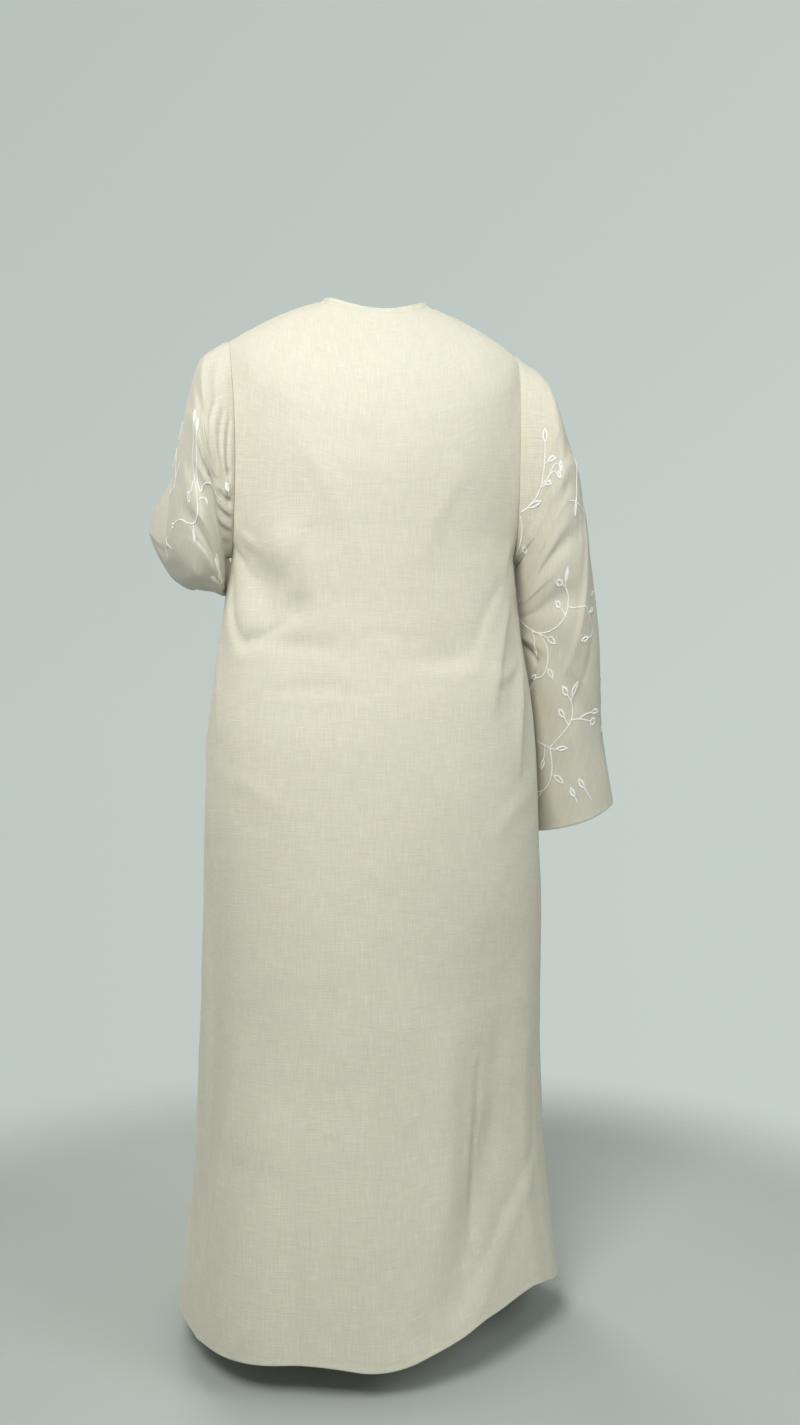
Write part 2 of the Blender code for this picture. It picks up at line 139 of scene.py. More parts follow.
# name, height of the ring, half width, depth at the back, depth at the front
SKIRT = [
    ("hem", -LENGTH, 0.268, 0.24, 0.228),
    ("shin", -1.25, 0.254, 0.217, 0.21),
    ("calf", -1.12, 0.245, 0.196, 0.195),
    ("knee", -0.98, 0.24, 0.18, 0.182),
    ("thigh", -0.82, 0.237, 0.168, 0.172),
    ("hip", -0.68, 0.235, 0.16, 0.164),
    ("high hip", -0.58, 0.23, 0.15, 0.158),
    ("waist", -0.5, 0.22, 0.138, 0.152),
    ("under bust", -0.43, 0.209, 0.13, 0.149),
    ("underarm", -UNDERARM_DROP, UNDERARM_HALF_WIDTH, 0.128, 0.147),
]

# name, station, half width, side height, height and depth at centre back, height and depth at centre front
BODICE = [
    ("underarm", 0.0, 0.198, -0.357, -0.357, 0.128, -0.357, 0.147),
    ("low armhole", 0.25, 0.201, -0.305, -0.306, 0.132, -0.318, 0.146),
    ("mid armhole", 0.5, 0.21, -0.215, -0.252, 0.134, -0.276, 0.141),
    ("high armhole", 0.75, 0.209, -0.13, -0.198, 0.129, -0.232, 0.13),
    ("shoulder point", 1.0, 0.194, -0.068, -0.142, 0.116, -0.186, 0.116),
    ("mid shoulder", 1.25, 0.141, -0.026, -0.084, 0.09, -0.139, 0.103),
    ("neck", 1.5, 0.08, 0.0, -0.028, 0.058, -0.094, 0.092),
]

# angle round the body, rise of the hem
HEM_RISES = [
    (0, 0.0), (30, 0.0), (50, 0.003), (66, 0.007), (84, -0.001), (100, 0.014), (118, 0.037), (140, 0.041),
    (165, 0.018), (180, 0.008), (270, 0.0), (360, 0.0),
]

# The main folds, as in the solids: angle and height of both ends, width, height
BODY_FOLDS = [
    ("hollow behind the right knee", 128, -0.96, 138, -1.42, 0.115, -0.03),
    ("edge of that hollow", 109, -1.0, 104, -1.27, 0.026, 0.007),
    ("drag across the hollow", 126, -1.13, 100, -1.34, 0.03, -0.008),
    ("fullness behind the left calf", 46, -1.15, 44, -1.42, 0.085, 0.022),
    ("left side flute", 20, -0.76, 17, -1.26, 0.04, -0.008),
    ("right side flute", 163, -0.96, 168, -1.4, 0.036, -0.004),
    ("bag under the left arm", 28, -0.375, 46, -0.428, 0.032, -0.012),
    ("turn of that bag", 46, -0.428, 62, -0.418, 0.032, -0.009),
    ("swell over that bag", 40, -0.335, 54, -0.372, 0.034, 0.008),
    ("waist slack left", 34, -0.49, 72, -0.496, 0.034, -0.006),
    ("waist slack lower left", 44, -0.56, 74, -0.562, 0.03, -0.004),
    ("waist slack right", 104, -0.492, 124, -0.484, 0.034, -0.005),
    ("drag from the right arm", 160, -0.43, 140, -0.56, 0.034, -0.007),
    ("second drag from the right arm", 172, -0.48, 152, -0.64, 0.03, -0.005),
    ("front left long fold", 312, -0.62, 306, -1.42, 0.05, 0.014),
    ("front left hollow", 333, -0.76, 330, -1.42, 0.045, -0.012),
    ("front right long fold", 230, -0.7, 235, -1.42, 0.05, 0.013),
    ("front right hollow", 208, -0.64, 211, -1.42, 0.045, -0.012),
    ("front left drag", 338, -0.4, 318, -0.52, 0.034, -0.007),
    ("front right drag", 202, -0.41, 222, -0.54, 0.034, -0.007),
]

# The smaller creases of the body, listed one by one. The bow carries the middle of a crease to one side, and
# the lean makes one flank steeper.
# name, angle and height of the start, angle and height of the end, bow, width, height, lean
BODY_CREASES = [
    ("rim of the bag", 8, -0.404, 30, -0.498, 0.008, 0.013, 0.0022, 0.2),
    ("rim of the bag turned up", 30, -0.496, 57, -0.456, 0.01, 0.013, 0.002, 0.2),
    ("line of the bag", 10, -0.385, 30, -0.478, 0.008, 0.006, -0.0048, -0.3),
    ("fill of the bag", 42, -0.418, 64, -0.41, 0.0, 0.026, 0.0066, 0.0),
    ("line of the bag turned up", 30, -0.476, 54, -0.44, 0.009, 0.0064, -0.0044, -0.2),
    ("far side of the bag", 60, -0.33, 55, -0.44, 0.006, 0.007, -0.0028, 0.3),
    ("waist line left", 26, -0.5, 74, -0.508, -0.006, 0.013, 0.0016, 0.3),
    ("over the waist line left", 28, -0.482, 70, -0.488, -0.006, 0.014, -0.003, 0.1),
    ("waist line lower", 44, -0.558, 84, -0.56, -0.005, 0.012, 0.0014, 0.3),
    ("over the waist line lower", 48, -0.543, 80, -0.547, -0.005, 0.011, -0.0022, 0.1),
    ("waist line right", 98, -0.522, 124, -0.512, 0.004, 0.013, 0.0014, -0.3),
    ("over the waist line right", 100, -0.502, 122, -0.492, 0.004, 0.014, -0.0032, -0.1),
    ("waist line far right", 130, -0.53, 152, -0.5, 0.004, 0.008, 0.0027, -0.4),
    ("small of the back", 80, -0.47, 100, -0.476, -0.004, 0.009, -0.0016, 0.0),
    ("drag line right", 150, -0.425, 130, -0.56, 0.008, 0.009, 0.0035, 0.5),
    ("drag line right low", 160, -0.5, 142, -0.65, 0.008, 0.009, 0.0032, 0.5),
    ("drag line right inner", 142, -0.4, 124, -0.48, 0.006, 0.008, -0.0024, 0.3),
    ("side drag left", 4, -0.47, 20, -0.6, -0.006, 0.01, 0.003, -0.4),
    ("side drag left low", 2, -0.61, 16, -0.76, -0.006, 0.012, 0.0027, -0.4),
    ("shoulder blade right", 120, -0.25, 104, -0.36, 0.006, 0.016, 0.0024, 0.2),
    ("shoulder blade left", 60, -0.23, 76, -0.35, -0.006, 0.016, 0.0024, -0.2),
    ("underarm pull left", 16, -0.3, 34, -0.352, 0.004, 0.008, 0.0032, 0.4),
    ("underarm pull left low", 10, -0.33, 30, -0.392, 0.006, 0.007, -0.003, 0.3),
    ("underarm pull right", 166, -0.3, 150, -0.372, 0.004, 0.009, 0.0027, 0.4),
    ("hip slack left", 24, -0.65, 52, -0.69, -0.006, 0.013, 0.0019, 0.3),
    ("hip slack right", 150, -0.68, 128, -0.73, 0.006, 0.013, 0.0019, -0.3),
    ("long line of the seat", 84, -0.78, 82, -1.01, 0.004, 0.018, 0.0022, 0.2),
    ("crease of the hollow", 122, -1.03, 115, -1.24, -0.002, 0.0055, -0.003, 0.3),
    ("lip of that crease", 119, -1.025, 112, -1.25, -0.002, 0.008, 0.0022, 0.3),
    ("drag to the right hem", 156, -1.165, 106, -1.318, 0.006, 0.011, -0.0022, 0.3),
    ("rim of that drag", 156, -1.192, 110, -1.338, 0.006, 0.013, 0.0014, 0.4),
    ("hollow beside the crease", 134, -0.96, 128, -1.27, 0.004, 0.03, -0.0046, 0.0),
    ("right flute line", 150, -1.02, 146, -1.38, 0.006, 0.014, 0.0018, -0.3),
    ("right flute hollow", 157, -1.06, 156, -1.38, 0.004, 0.014, -0.0018, 0.2),
    ("left hem flute", 30, -1.16, 27, -1.38, 0.004, 0.015, 0.0038, 0.2),
    ("left hem hollow", 60, -1.18, 62, -1.38, 0.004, 0.018, -0.0035, 0.2),
    ("mid hem flute", 78, -1.21, 80, -1.38, -0.004, 0.016, 0.0027, 0.1),
    ("calf line left", 38, -1.0, 30, -1.19, 0.008, 0.016, 0.0024, 0.2),
    ("left side line", 12, -0.83, 26, -1.3, 0.01, 0.016, -0.0018, -0.3),
    ("front left bust drag", 344, -0.33, 322, -0.4, 0.006, 0.01, 0.0032, 0.4),
    ("front left bust drag low", 350, -0.37, 330, -0.46, 0.006, 0.009, -0.003, 0.3),
    ("front left waist", 336, -0.5, 300, -0.512, -0.006, 0.009, 0.0027, 0.5),
    ("front left waist low", 328, -0.56, 296, -0.566, -0.005, 0.008, 0.0022, 0.5),
    ("front right bust drag", 196, -0.34, 218, -0.41, 0.006, 0.01, 0.0032, 0.4),
    ("front right waist", 204, -0.51, 238, -0.52, 0.006, 0.009, 0.0027, -0.5),
    ("front right waist low", 210, -0.575, 240, -0.58, 0.005, 0.008, 0.0022, -0.5),
    ("front edge pull left", 284, -0.3, 280, -0.52, 0.004, 0.012, 0.0022, 0.2),
    ("front edge pull right", 256, -0.33, 261, -0.56, 0.004, 0.012, 0.0022, 0.2),
    ("front left skirt line", 320, -0.9, 316, -1.38, 0.006, 0.014, 0.0041, 0.3),
    ("front left inner line", 292, -0.98, 290, -1.38, 0.006, 0.014, -0.0035, 0.2),
    ("front left hip slack", 332, -0.68, 306, -0.72, -0.006, 0.013, 0.0019, 0.3),
    ("front right skirt line", 222, -0.88, 224, -1.38, 0.006, 0.014, 0.0041, 0.3),
    ("front right inner line", 248, -1.0, 250, -1.38, 0.006, 0.014, -0.0032, 0.2),
    ("front right hip slack", 206, -0.69, 232, -0.73, 0.006, 0.013, 0.0019, 0.3),
    ("left seam flute", 352, -1.0, 350, -1.38, 0.005, 0.016, 0.0038, 0.2),
    ("right seam flute", 188, -1.04, 190, -1.38, 0.005, 0.016, 0.0035, 0.2),
]

# Rings of the sleeves, as in the solids: x, y and z of the four rails on the wearer's left.
# name, outer rail, back rail, inner rail, front rail
SLEEVE_HANGING = [
    ("head", (0.24, 0, -0.09), (0.236, 0.082, -0.214), (0.207, 0, -0.361), (0.236, -0.082, -0.214)),
    ("cap", (0.258, 0, -0.14), (0.247, 0.088, -0.256), (0.207, 0, -0.378), (0.247, -0.09, -0.256)),
    ("biceps", (0.283, 0, -0.21), (0.252, 0.088, -0.306), (0.211, -0.002, -0.412), (0.25, -0.093, -0.306)),
    ("upper elbow", (0.306, -0.006, -0.315), (0.264, 0.079, -0.382),
     (0.217, -0.01, -0.451), (0.258, -0.094, -0.382)),
    ("elbow", (0.331, -0.016, -0.46), (0.275, 0.06, -0.497),
     (0.228, -0.02, -0.53), (0.275, -0.096, -0.497)),
    ("forearm", (0.342, -0.038, -0.57), (0.284, 0.036, -0.6),
     (0.231, -0.042, -0.625), (0.284, -0.116, -0.6)),
    ("cuff", (0.368, -0.062, -0.698), (0.303, 0.016, -0.726),
     (0.235, -0.062, -0.744), (0.303, -0.142, -0.728)),
]
SLEEVE_BENT = [
    ("head", (0.243, 0, -0.089), (0.234, 0.082, -0.218), (0.207, 0, -0.361), (0.234, -0.082, -0.202)),
    ("cap", (0.258, 0, -0.139), (0.24, 0.086, -0.264), (0.206, -0.005, -0.375), (0.242, -0.088, -0.224)),
    ("biceps", (0.271, 0, -0.205), (0.24, 0.084, -0.316), (0.206, -0.018, -0.386), (0.246, -0.094, -0.242)),
    ("elbow top", (0.281, -0.006, -0.266), (0.238, 0.07, -0.36),
     (0.206, -0.036, -0.391), (0.248, -0.104, -0.252)),
    ("elbow", (0.286, -0.03, -0.308), (0.242, 0.032, -0.391),
     (0.197, -0.068, -0.389), (0.25, -0.122, -0.256)),
    ("forearm", (0.29, -0.096, -0.326), (0.246, -0.04, -0.396),
     (0.19, -0.12, -0.366), (0.256, -0.158, -0.246)),
    ("wrist", (0.299, -0.182, -0.316), (0.255, -0.15, -0.382),
     (0.206, -0.202, -0.33), (0.266, -0.218, -0.226)),
    ("cuff", (0.316, -0.286, -0.286), (0.266, -0.268, -0.366), (0.228, -0.292, -0.302), (0.28, -0.3, -0.2)),
]

# The main folds of the sleeves: turn and run of both ends, width, height
HANGING_FOLDS = [
    ("slack inside the elbow", 48, 0.42, 110, 0.52, 0.016, -0.007),
    ("second slack inside the elbow", 44, 0.55, 96, 0.62, 0.016, -0.006),
    ("long diagonal behind the arm", 70, 0.2, 150, 0.48, 0.018, 0.006),
    ("lower diagonal", 60, 0.66, 128, 0.9, 0.022, -0.006),
    ("front of the elbow", 300, 0.44, 240, 0.54, 0.016, -0.006),
    ("front diagonal", 290, 0.24, 214, 0.46, 0.018, 0.005),
    ("fullness before the underarm", 318, 0.1, 316, 0.34, 0.022, 0.006),
    ("fullness behind the underarm", 44, 0.1, 48, 0.3, 0.022, 0.005),
]
BENT_FOLDS = [
    ("gather above the underarm", 62, 0.08, 140, 0.17, 0.014, -0.008),
    ("second gather", 66, 0.15, 150, 0.28, 0.014, 0.007),
    ("third gather", 56, 0.22, 130, 0.36, 0.014, -0.007),
    ("bend across the elbow", 70, 0.42, 140, 0.48, 0.016, -0.006),
    ("crook of the elbow", 300, 0.4, 240, 0.46, 0.014, -0.008),
    ("second crook fold", 290, 0.5, 232, 0.56, 0.014, 0.006),
    ("fall to the cuff", 100, 0.62, 130, 0.98, 0.024, 0.007),
]

# The smaller creases of the sleeves, listed one by one.
# name, turn and run of the start, turn and run of the end, bow, width, height, lean
HANGING_CREASES = [
    ("cap drag", 60, 0.03, 110, 0.2, 0.006, 0.009, 0.0022, 0.3),
    ("cap drag low", 40, 0.06, 92, 0.26, 0.006, 0.009, -0.002, 0.3),
    ("underarm pull", 20, 0.05, 62, 0.24, 0.006, 0.009, 0.0014, 0.4),
    ("underarm pull low", 6, 0.12, 48, 0.34, 0.006, 0.009, -0.0014, 0.3),
    ("inner elbow crease", 14, 0.44, 60, 0.5, 0.005, 0.008, 0.0018, 0.5),
    ("inner elbow crease mid", 6, 0.52, 44, 0.57, 0.005, 0.007, -0.002, 0.4),
    ("ridge over the elbow tuck", 2, 0.595, 42, 0.66, 0.004, 0.006, 0.0034, 0.4),
    ("elbow tuck", -2, 0.618, 27, 0.676, 0.003, 0.005, -0.008, 0.4),
    ("turn of that tuck", 27, 0.676, 8, 0.716, 0.003, 0.005, -0.006, 0.3),
    ("ridge under the elbow tuck", 10, 0.742, 36, 0.69, 0.004, 0.006, 0.003, 0.3),
    ("outer diagonal", 138, 0.52, 78, 0.72, 0.01, 0.01, 0.0034, 0.4),
    ("hollow beside it", 146, 0.6, 92, 0.8, 0.008, 0.011, -0.0024, 0.3),
    ("shoulder line", 98, 0.08, 76, 0.045, 0.004, 0.006, -0.003, 0.3),
    ("shoulder ridge", 104, 0.11, 80, 0.07, 0.004, 0.006, 0.0026, 0.3),
    ("back diagonal", 76, 0.34, 150, 0.56, 0.006, 0.01, 0.002, 0.3),
    ("back diagonal low", 70, 0.7, 140, 0.88, 0.006, 0.01, 0.002, -0.3),
    ("forearm line", 30, 0.74, 60, 0.96, 0.005, 0.01, -0.002, 0.2),
    ("outer drape", 168, 0.4, 196, 0.72, -0.006, 0.012, 0.0018, 0.2),
    ("cuff ripple back", 92, 0.86, 96, 1.0, 0.003, 0.012, 0.0018, 0.1),
    ("cuff ripple outer", 150, 0.88, 156, 1.0, 0.003, 0.012, -0.0018, 0.1),
    ("front elbow crease", 342, 0.46, 280, 0.52, 0.005, 0.007, 0.0026, 0.4),
    ("front elbow crease low", 346, 0.58, 290, 0.63, 0.005, 0.007, -0.0024, 0.4),
    ("front cap drag", 300, 0.06, 246, 0.24, 0.006, 0.009, 0.002, 0.3),
    ("front forearm line", 320, 0.72, 292, 0.96, 0.005, 0.011, 0.002, 0.2),
]
BENT_CREASES = [
    ("knot", 66, 0.028, 66, 0.042, 0.0, 0.0045, 0.0075, 0.0),
    ("pit over the knot", 73, 0.024, 74, 0.046, 0.0, 0.0036, -0.0062, 0.0),
    ("pit under the knot", 59, 0.022, 58, 0.044, 0.0, 0.0036, -0.0062, 0.0),
    ("first groove", 66, 0.055, 106, 0.205, -0.014, 0.0036, -0.0048, 0.3),
    ("second groove", 67, 0.07, 108, 0.235, -0.02, 0.004, -0.0052, 0.3),
    ("third groove", 66, 0.05, 114, 0.062, -0.024, 0.0036, -0.0046, 0.3),
    ("fourth groove", 67, 0.04, 106, 0.04, -0.011, 0.0034, -0.0044, 0.3),
    ("deep groove", 68, 0.03, 101, 0.018, -0.006, 0.004, -0.008, 0.3),
    ("ridge outside the second", 66, 0.08, 112, 0.29, -0.02, 0.006, 0.0034, 0.3),
    ("ridge inside the second", 66, 0.062, 107, 0.22, -0.017, 0.0036, 0.0034, 0.3),
    ("ridge inside the first", 66, 0.053, 110, 0.13, -0.02, 0.0044, 0.0036, 0.3),
    ("ridge inside the third", 66, 0.045, 110, 0.05, -0.017, 0.0036, 0.0034, 0.3),
    ("ridge inside the fourth", 67, 0.035, 104, 0.03, -0.0085, 0.0034, 0.0034, 0.3),
    ("lip at the seam", 74, 0.014, 108, 0.006, -0.002, 0.004, 0.004, 0.3),
    ("shade to the shoulder", 112, 0.064, 150, 0.03, -0.006, 0.009, -0.0034, 0.4),
    ("fullness of the shoulder", 116, 0.11, 160, 0.09, -0.004, 0.012, 0.003, 0.3),
    ("level groove", 62, 0.078, 56, 0.004, 0.002, 0.0034, -0.0052, 0.3),
    ("level ridge", 59, 0.096, 52, 0.008, 0.002, 0.0036, 0.004, 0.3),
    ("second level groove", 56, 0.12, 48, 0.012, 0.003, 0.0036, -0.0044, 0.3),
    ("second level ridge", 52, 0.14, 43, 0.014, 0.003, 0.004, 0.0032, 0.3),
    ("third level groove", 48, 0.165, 38, 0.016, 0.003, 0.004, -0.0034, 0.3),
    ("fourth level groove", 38, 0.23, 28, 0.04, 0.003, 0.005, -0.0028, 0.3),
    ("elbow line", 60, 0.34, 120, 0.44, 0.005, 0.007, 0.0026, 0.4),
    ("elbow line low", 66, 0.46, 134, 0.54, 0.005, 0.007, -0.0024, 0.4),
    ("forearm underside", 70, 0.6, 104, 0.84, 0.006, 0.01, 0.0024, 0.3),
    ("cuff ripple", 120, 0.82, 126, 1.0, 0.003, 0.011, 0.002, 0.1),
    ("cuff ripple outer", 160, 0.8, 168, 1.0, 0.003, 0.011, -0.002, 0.1),
    ("outer bend", 150, 0.34, 196, 0.46, 0.005, 0.008, 0.0024, 0.4),
    ("outer bend low", 152, 0.44, 200, 0.54, 0.005, 0.008, -0.002, 0.4),
    ("crook crease", 330, 0.34, 262, 0.42, 0.005, 0.006, 0.0034, 0.5),
    ("crook crease 2", 336, 0.42, 258, 0.48, 0.005, 0.006, -0.0034, 0.4),
    ("crook crease 3", 334, 0.48, 262, 0.54, 0.004, 0.006, 0.003, 0.5),
    ("front cap drag", 304, 0.06, 240, 0.22, 0.006, 0.009, 0.0022, 0.3),
]

# How the vines are worked: lengths of a leaf and a bud, breadths, the stalk a growth stands on, its turn
# away from the stem, how far a leaf's sides swell, and the runs that stems and growths keep to
LEAF = 0.019
BUD = 0.0082
STEM_BREADTH = 0.0034
BUD_BREADTH = 1.15
STALK = 0.006
LEAF_SPREAD = math.radians(52)
LEAF_SIDES = (-0.13, 0.18)
STEM_RUN = (0.004, 0.975)
LEAF_RUN = (0.012, 0.97)

# Vines of the sleeves, charted on the wearer's right and left sleeve: the stem's turns and runs, then
# its growths as share of the stem, side and size. A growth is a leaf where it isn't called a bud. Side 0 is
# the stem's own end.
HANGING_VINES = [
    ("seam vine", [(56, 0.012), (62, 0.07), (68, 0.092), (74, 0.1), (81, 0.098), (88, 0.096), (96, 0.094)],
     [(0.4, -1, 0.8), (0.72, -1, 0.9), (1.0, 0, 1.0)]),
    ("seam branch", [(72, 0.1), (80, 0.165), (85, 0.215)], [(1.0, 0, 1.0)]),
    ("seam twig", [(76, 0.13), (86, 0.18), (92, 0.228)], [(1.0, 0, 1.3, "bud")]),
    ("seam leaf", [(57, 0.008), (58, 0.03), (59, 0.05)], [(1.0, 0, 1.1)]),
    ("seam tail", [(54, 0.012), (46, 0.032), (38, 0.038), (30, 0.034), (22, 0.016)], [(0.65, 1, 1.1)]),
    ("outer spray", [(138, 0.4), (126, 0.43), (117, 0.455)], [(1.0, 0, 1.0)]),
    ("elbow hook", [(-15, 0.48), (6, 0.545), (24, 0.59), (36, 0.612), (48, 0.624), (60, 0.631),
     (72, 0.631), (81, 0.62), (84, 0.602), (81, 0.582), (75, 0.56)], [(0.93, -1, 0.9), (1.0, 0, 1.1)]),
    ("elbow twig", [(78, 0.63), (74, 0.616), (70, 0.602)], [(1.0, 0, 0.9)]),
    ("elbow spray", [(82, 0.618), (94, 0.632), (104, 0.64), (112, 0.648), (120, 0.666), (128, 0.688),
     (122, 0.696), (114, 0.694)], [(0.52, 1, 0.8), (1.0, 0, 0.9)]),
    ("elbow leaf", [(36, 0.614), (44, 0.628), (49, 0.638)], [(1.0, 0, 1.1)]),
    ("inner elbow leaf", [(24, 0.592), (28, 0.616), (28, 0.632)], [(1.0, 0, 0.8)]),
    ("elbow drop", [(36, 0.614), (44, 0.64), (48, 0.665), (46, 0.69), (38, 0.706), (24, 0.704)],
     [(0.62, 1, 1.0), (1.0, 0, 0.9)]),
    ("forearm sprig", [(52, 0.862), (66, 0.85), (78, 0.838), (85, 0.825), (87, 0.806), (84, 0.79),
     (79, 0.775)], [(0.84, -1, 1.0), (1.0, 0, 1.0)]),
    ("forearm twig", [(80, 0.836), (76, 0.824), (73, 0.815)], [(1.0, 0, 0.9)]),
    ("forearm branch", [(84, 0.828), (98, 0.835), (112, 0.846), (120, 0.852)], [(1.0, 0, 1.1, "bud")]),
    ("forearm upper branch", [(96, 0.834), (110, 0.833), (121, 0.837)], [(1.0, 0, 0.9)]),
    ("cuff sprig", [(30, 0.843), (44, 0.855), (52, 0.868), (54, 0.894), (52, 0.915), (46, 0.928),
     (38, 0.934)], [(0.62, 1, 1.0), (1.0, 0, 0.9)]),
    ("cuff leaf", [(50, 0.863), (57, 0.868), (62, 0.87)], [(1.0, 0, 0.9)]),
    ("inner cuff leaf", [(44, 0.856), (44, 0.87), (42, 0.88)], [(1.0, 0, 0.8)]),
    ("cuff spray", [(102, 0.972), (98, 0.96), (94, 0.948)], [(1.0, 0, 0.9)]),
    ("cuff twig", [(84, 0.968), (81, 0.956)], [(1.0, 0, 0.8)]),
]
BENT_VINES = [
    ("long stem", [(122, 0.23), (118, 0.262), (119, 0.3), (112, 0.33), (105, 0.35), (101, 0.385),
     (104, 0.425), (112, 0.462), (124, 0.49), (136, 0.508), (146, 0.532), (152, 0.556)], [(0.0, 0, 0.9),
     (1.0, 0, 0.8)]),
    ("second stem", [(111, 0.21), (108, 0.24), (106, 0.28), (102, 0.316), (94, 0.31), (84, 0.24),
     (72, 0.16), (62, 0.105), (58, 0.075)], [(0.0, 0, 0.8)]),
    ("flower stalk", [(115, 0.35), (117, 0.38), (121, 0.405)], [(1.0, 0, 1.3, "bud")]),
    ("seam leaf", [(99, 0.35), (90, 0.312), (82, 0.284)], [(1.0, 0, 0.9)]),
    ("hanging leaf", [(112, 0.462), (111, 0.476)], [(1.0, 0, 0.8)]),
    ("leaf in the knot", [(61, 0.03), (65, 0.036)], [(1.0, 0, 0.6)]),
    ("elbow hook", [(34, 0.41), (40, 0.45), (45, 0.49), (53, 0.52), (60, 0.532)], [(1.0, 0, 0.9)]),
    ("elbow leaf", [(42, 0.462), (50, 0.432)], [(1.0, 0, 0.9)]),
    ("outer leaf", [(184, 0.36), (187, 0.338)], [(1.0, 0, 0.8)]),
    ("low outer leaf", [(190, 0.44), (189, 0.415)], [(1.0, 0, 0.8)]),
    ("forearm sprig", [(150, 0.66), (164, 0.69), (170, 0.74), (160, 0.78)], [(0.4, 1, 0.9), (0.7, -1, 0.9),
     (1.0, 0, 1.0, "bud")]),
]
# The same vines again on the sides that don't show: which sleeve, turn and run they are moved by
HIDDEN_REPEATS = [("hanging", 118, -0.06), ("hanging", 226, 0.02), ("bent", 122, -0.02),
                  ("bent", 222, 0.06)]


def follow(stations, values, where):
    """Reads values between stations off a smooth curve that never passes beyond its neighbours."""
    stations = np.asarray(stations, float)
    values = np.asarray(values, float)
    step = np.diff(stations)
    slope = np.diff(values) / step
    product = slope[1:] * slope[:-1]
    total = np.where(product > 0, slope[1:] + slope[:-1], 1.0)
    middle = np.where(product > 0, 2 * product / total, 0.0)
    tangent = np.concatenate([slope[:1], middle, slope[-1:]])
    i = np.clip(np.searchsorted(stations, where) - 1, 0, len(step) - 1)
    u = (where - stations[i]) / step[i]
    return (
        values[i] * (1 + 2 * u) * (1 - u) ** 2
        + tangent[i] * step[i] * u * (1 - u) ** 2
        + values[i + 1] * u**2 * (3 - 2 * u)
        + tangent[i + 1] * step[i] * u**2 * (u - 1)
    )


def unit(vectors):
    return vectors / np.maximum(np.linalg.norm(vectors, axis=-1, keepdims=True), 1e-12)


def armhole(turn):
    """Points of the left armhole's edge: 0 at the underarm, a quarter turn at the back, half on top."""
    rise = (1 - np.cos(turn)) / 2
    half_width = UNDERARM_HALF_WIDTH + (SHOULDER_HALF_WIDTH - UNDERARM_HALF_WIDTH) * rise
    half_width = half_width + ARMHOLE_SWELL * np.sin(turn) ** 2
    depth = ARMHOLE_HALF_DEPTH * np.sin(turn)
    half_width = half_width * np.sqrt(1 - (depth / ARMHOLE_SPREAD) ** 2)
    return np.stack([half_width, depth, -UNDERARM_DROP + ARMHOLE_HEIGHT * rise], -1)


def stations_with_edges(count, length, first=True, last=True):
    """Shares from 0 to 1 that lie closer together at the named ends, where a seam or a turned edge runs."""
    near = np.array(EDGE_STEPS) / length
    start = near if first else np.array([0.0])
    end = 1 - near[::-1] if last else np.array([1.0])
    middle = np.linspace(start[-1], end[0], count + 2 - (len(start) + len(end)))[1:-1]
    return np.concatenate([start, middle, end])


def body_rows():
    """Each row of the body from hem to neck: its edge, half width, side height, then the centres."""
    names, heights, widths, backs, fronts = zip(*SKIRT)
    reach = heights[-1] - heights[0]
    height = heights[0] + reach * stations_with_edges(SKIRT_ROWS, reach, True, False)[:-1]
    width, back, front = (follow(heights, column, height) for column in (widths, backs, fronts))
    edge = np.stack([width, 0 * width, height], -1)
    low = np.concatenate([edge, np.stack([width, height, height, back, height, front], -1)], -1)
    turns = np.linspace(0, 1, ARMHOLE_ROWS + 1)[:-1]
    share = stations_with_edges(SHOULDER_ROWS, SHOULDER_SPAN, False, True)
    station = np.concatenate([turns, 1 + (NECK_STATION - 1) * share])
    names, stations, *columns = zip(*BODICE)
    shoulder = np.stack([
        SHOULDER_HALF_WIDTH + (NECK_HALF_WIDTH - SHOULDER_HALF_WIDTH) * share,
        0 * share,
        -SHOULDER_DROP * (1 - share) ** SHOULDER_CURVE,
    ], -1)
    edge = np.concatenate([armhole(math.pi * turns), shoulder])
    high = np.stack([follow(stations, column, station) for column in columns], -1)
    rows = np.concatenate([low, np.concatenate([edge, high], -1)])
    join = slice(len(low) - JOIN_EASE, len(low) + JOIN_EASE)
    for _ in range(JOIN_EASE**2):
        rows[join, 3:] = (np.roll(rows, 1, 0)[join, 3:] + np.roll(rows, -1, 0)[join, 3:]) / 2
    return rows


def felt(across, up, start, end, width, bow, lean, crispness):
    """How much of a fold is felt at a place: full on its line, fading to its sides and its two ends."""
    run = np.array(end) - np.array(start)
    length = math.hypot(*run)
    share = ((across - start[0]) * run[0] + (up - start[1]) * run[1]) / length**2
    nearest = np.clip(share, 0, 1)
    side = ((across - start[0]) * run[1] - (up - start[1]) * run[0]) / length
    side = side - bow * 4 * nearest * (1 - nearest)
    beyond = (share - nearest) * length
    flank = width * (1 + lean * np.tanh(side / width))
    swell = 0.55 + 0.45 * np.sin(math.pi * nearest)
    return swell * np.exp(-np.hypot(side / flank, beyond / width) ** crispness)


def rumple(share, up, cells, cell, seed):
    """Soft uneven swells between -1 and 1, closed round the form."""
    table = np.random.RandomState(seed).uniform(-1, 1, (97, cells))
    x, y = share * cells, up / cell
    i, j = np.floor(y).astype(int), np.floor(x).astype(int)
    v, u = y - i, x - j
    i = i % 96
    v, u = v * v * (3 - 2 * v), u * u * (3 - 2 * u)
    left, right = j % cells, (j + 1) % cells
    low, high = (table[row, left] * (1 - u) + table[row, right] * u for row in (i, i + 1))
    return low * (1 - v) + high * v


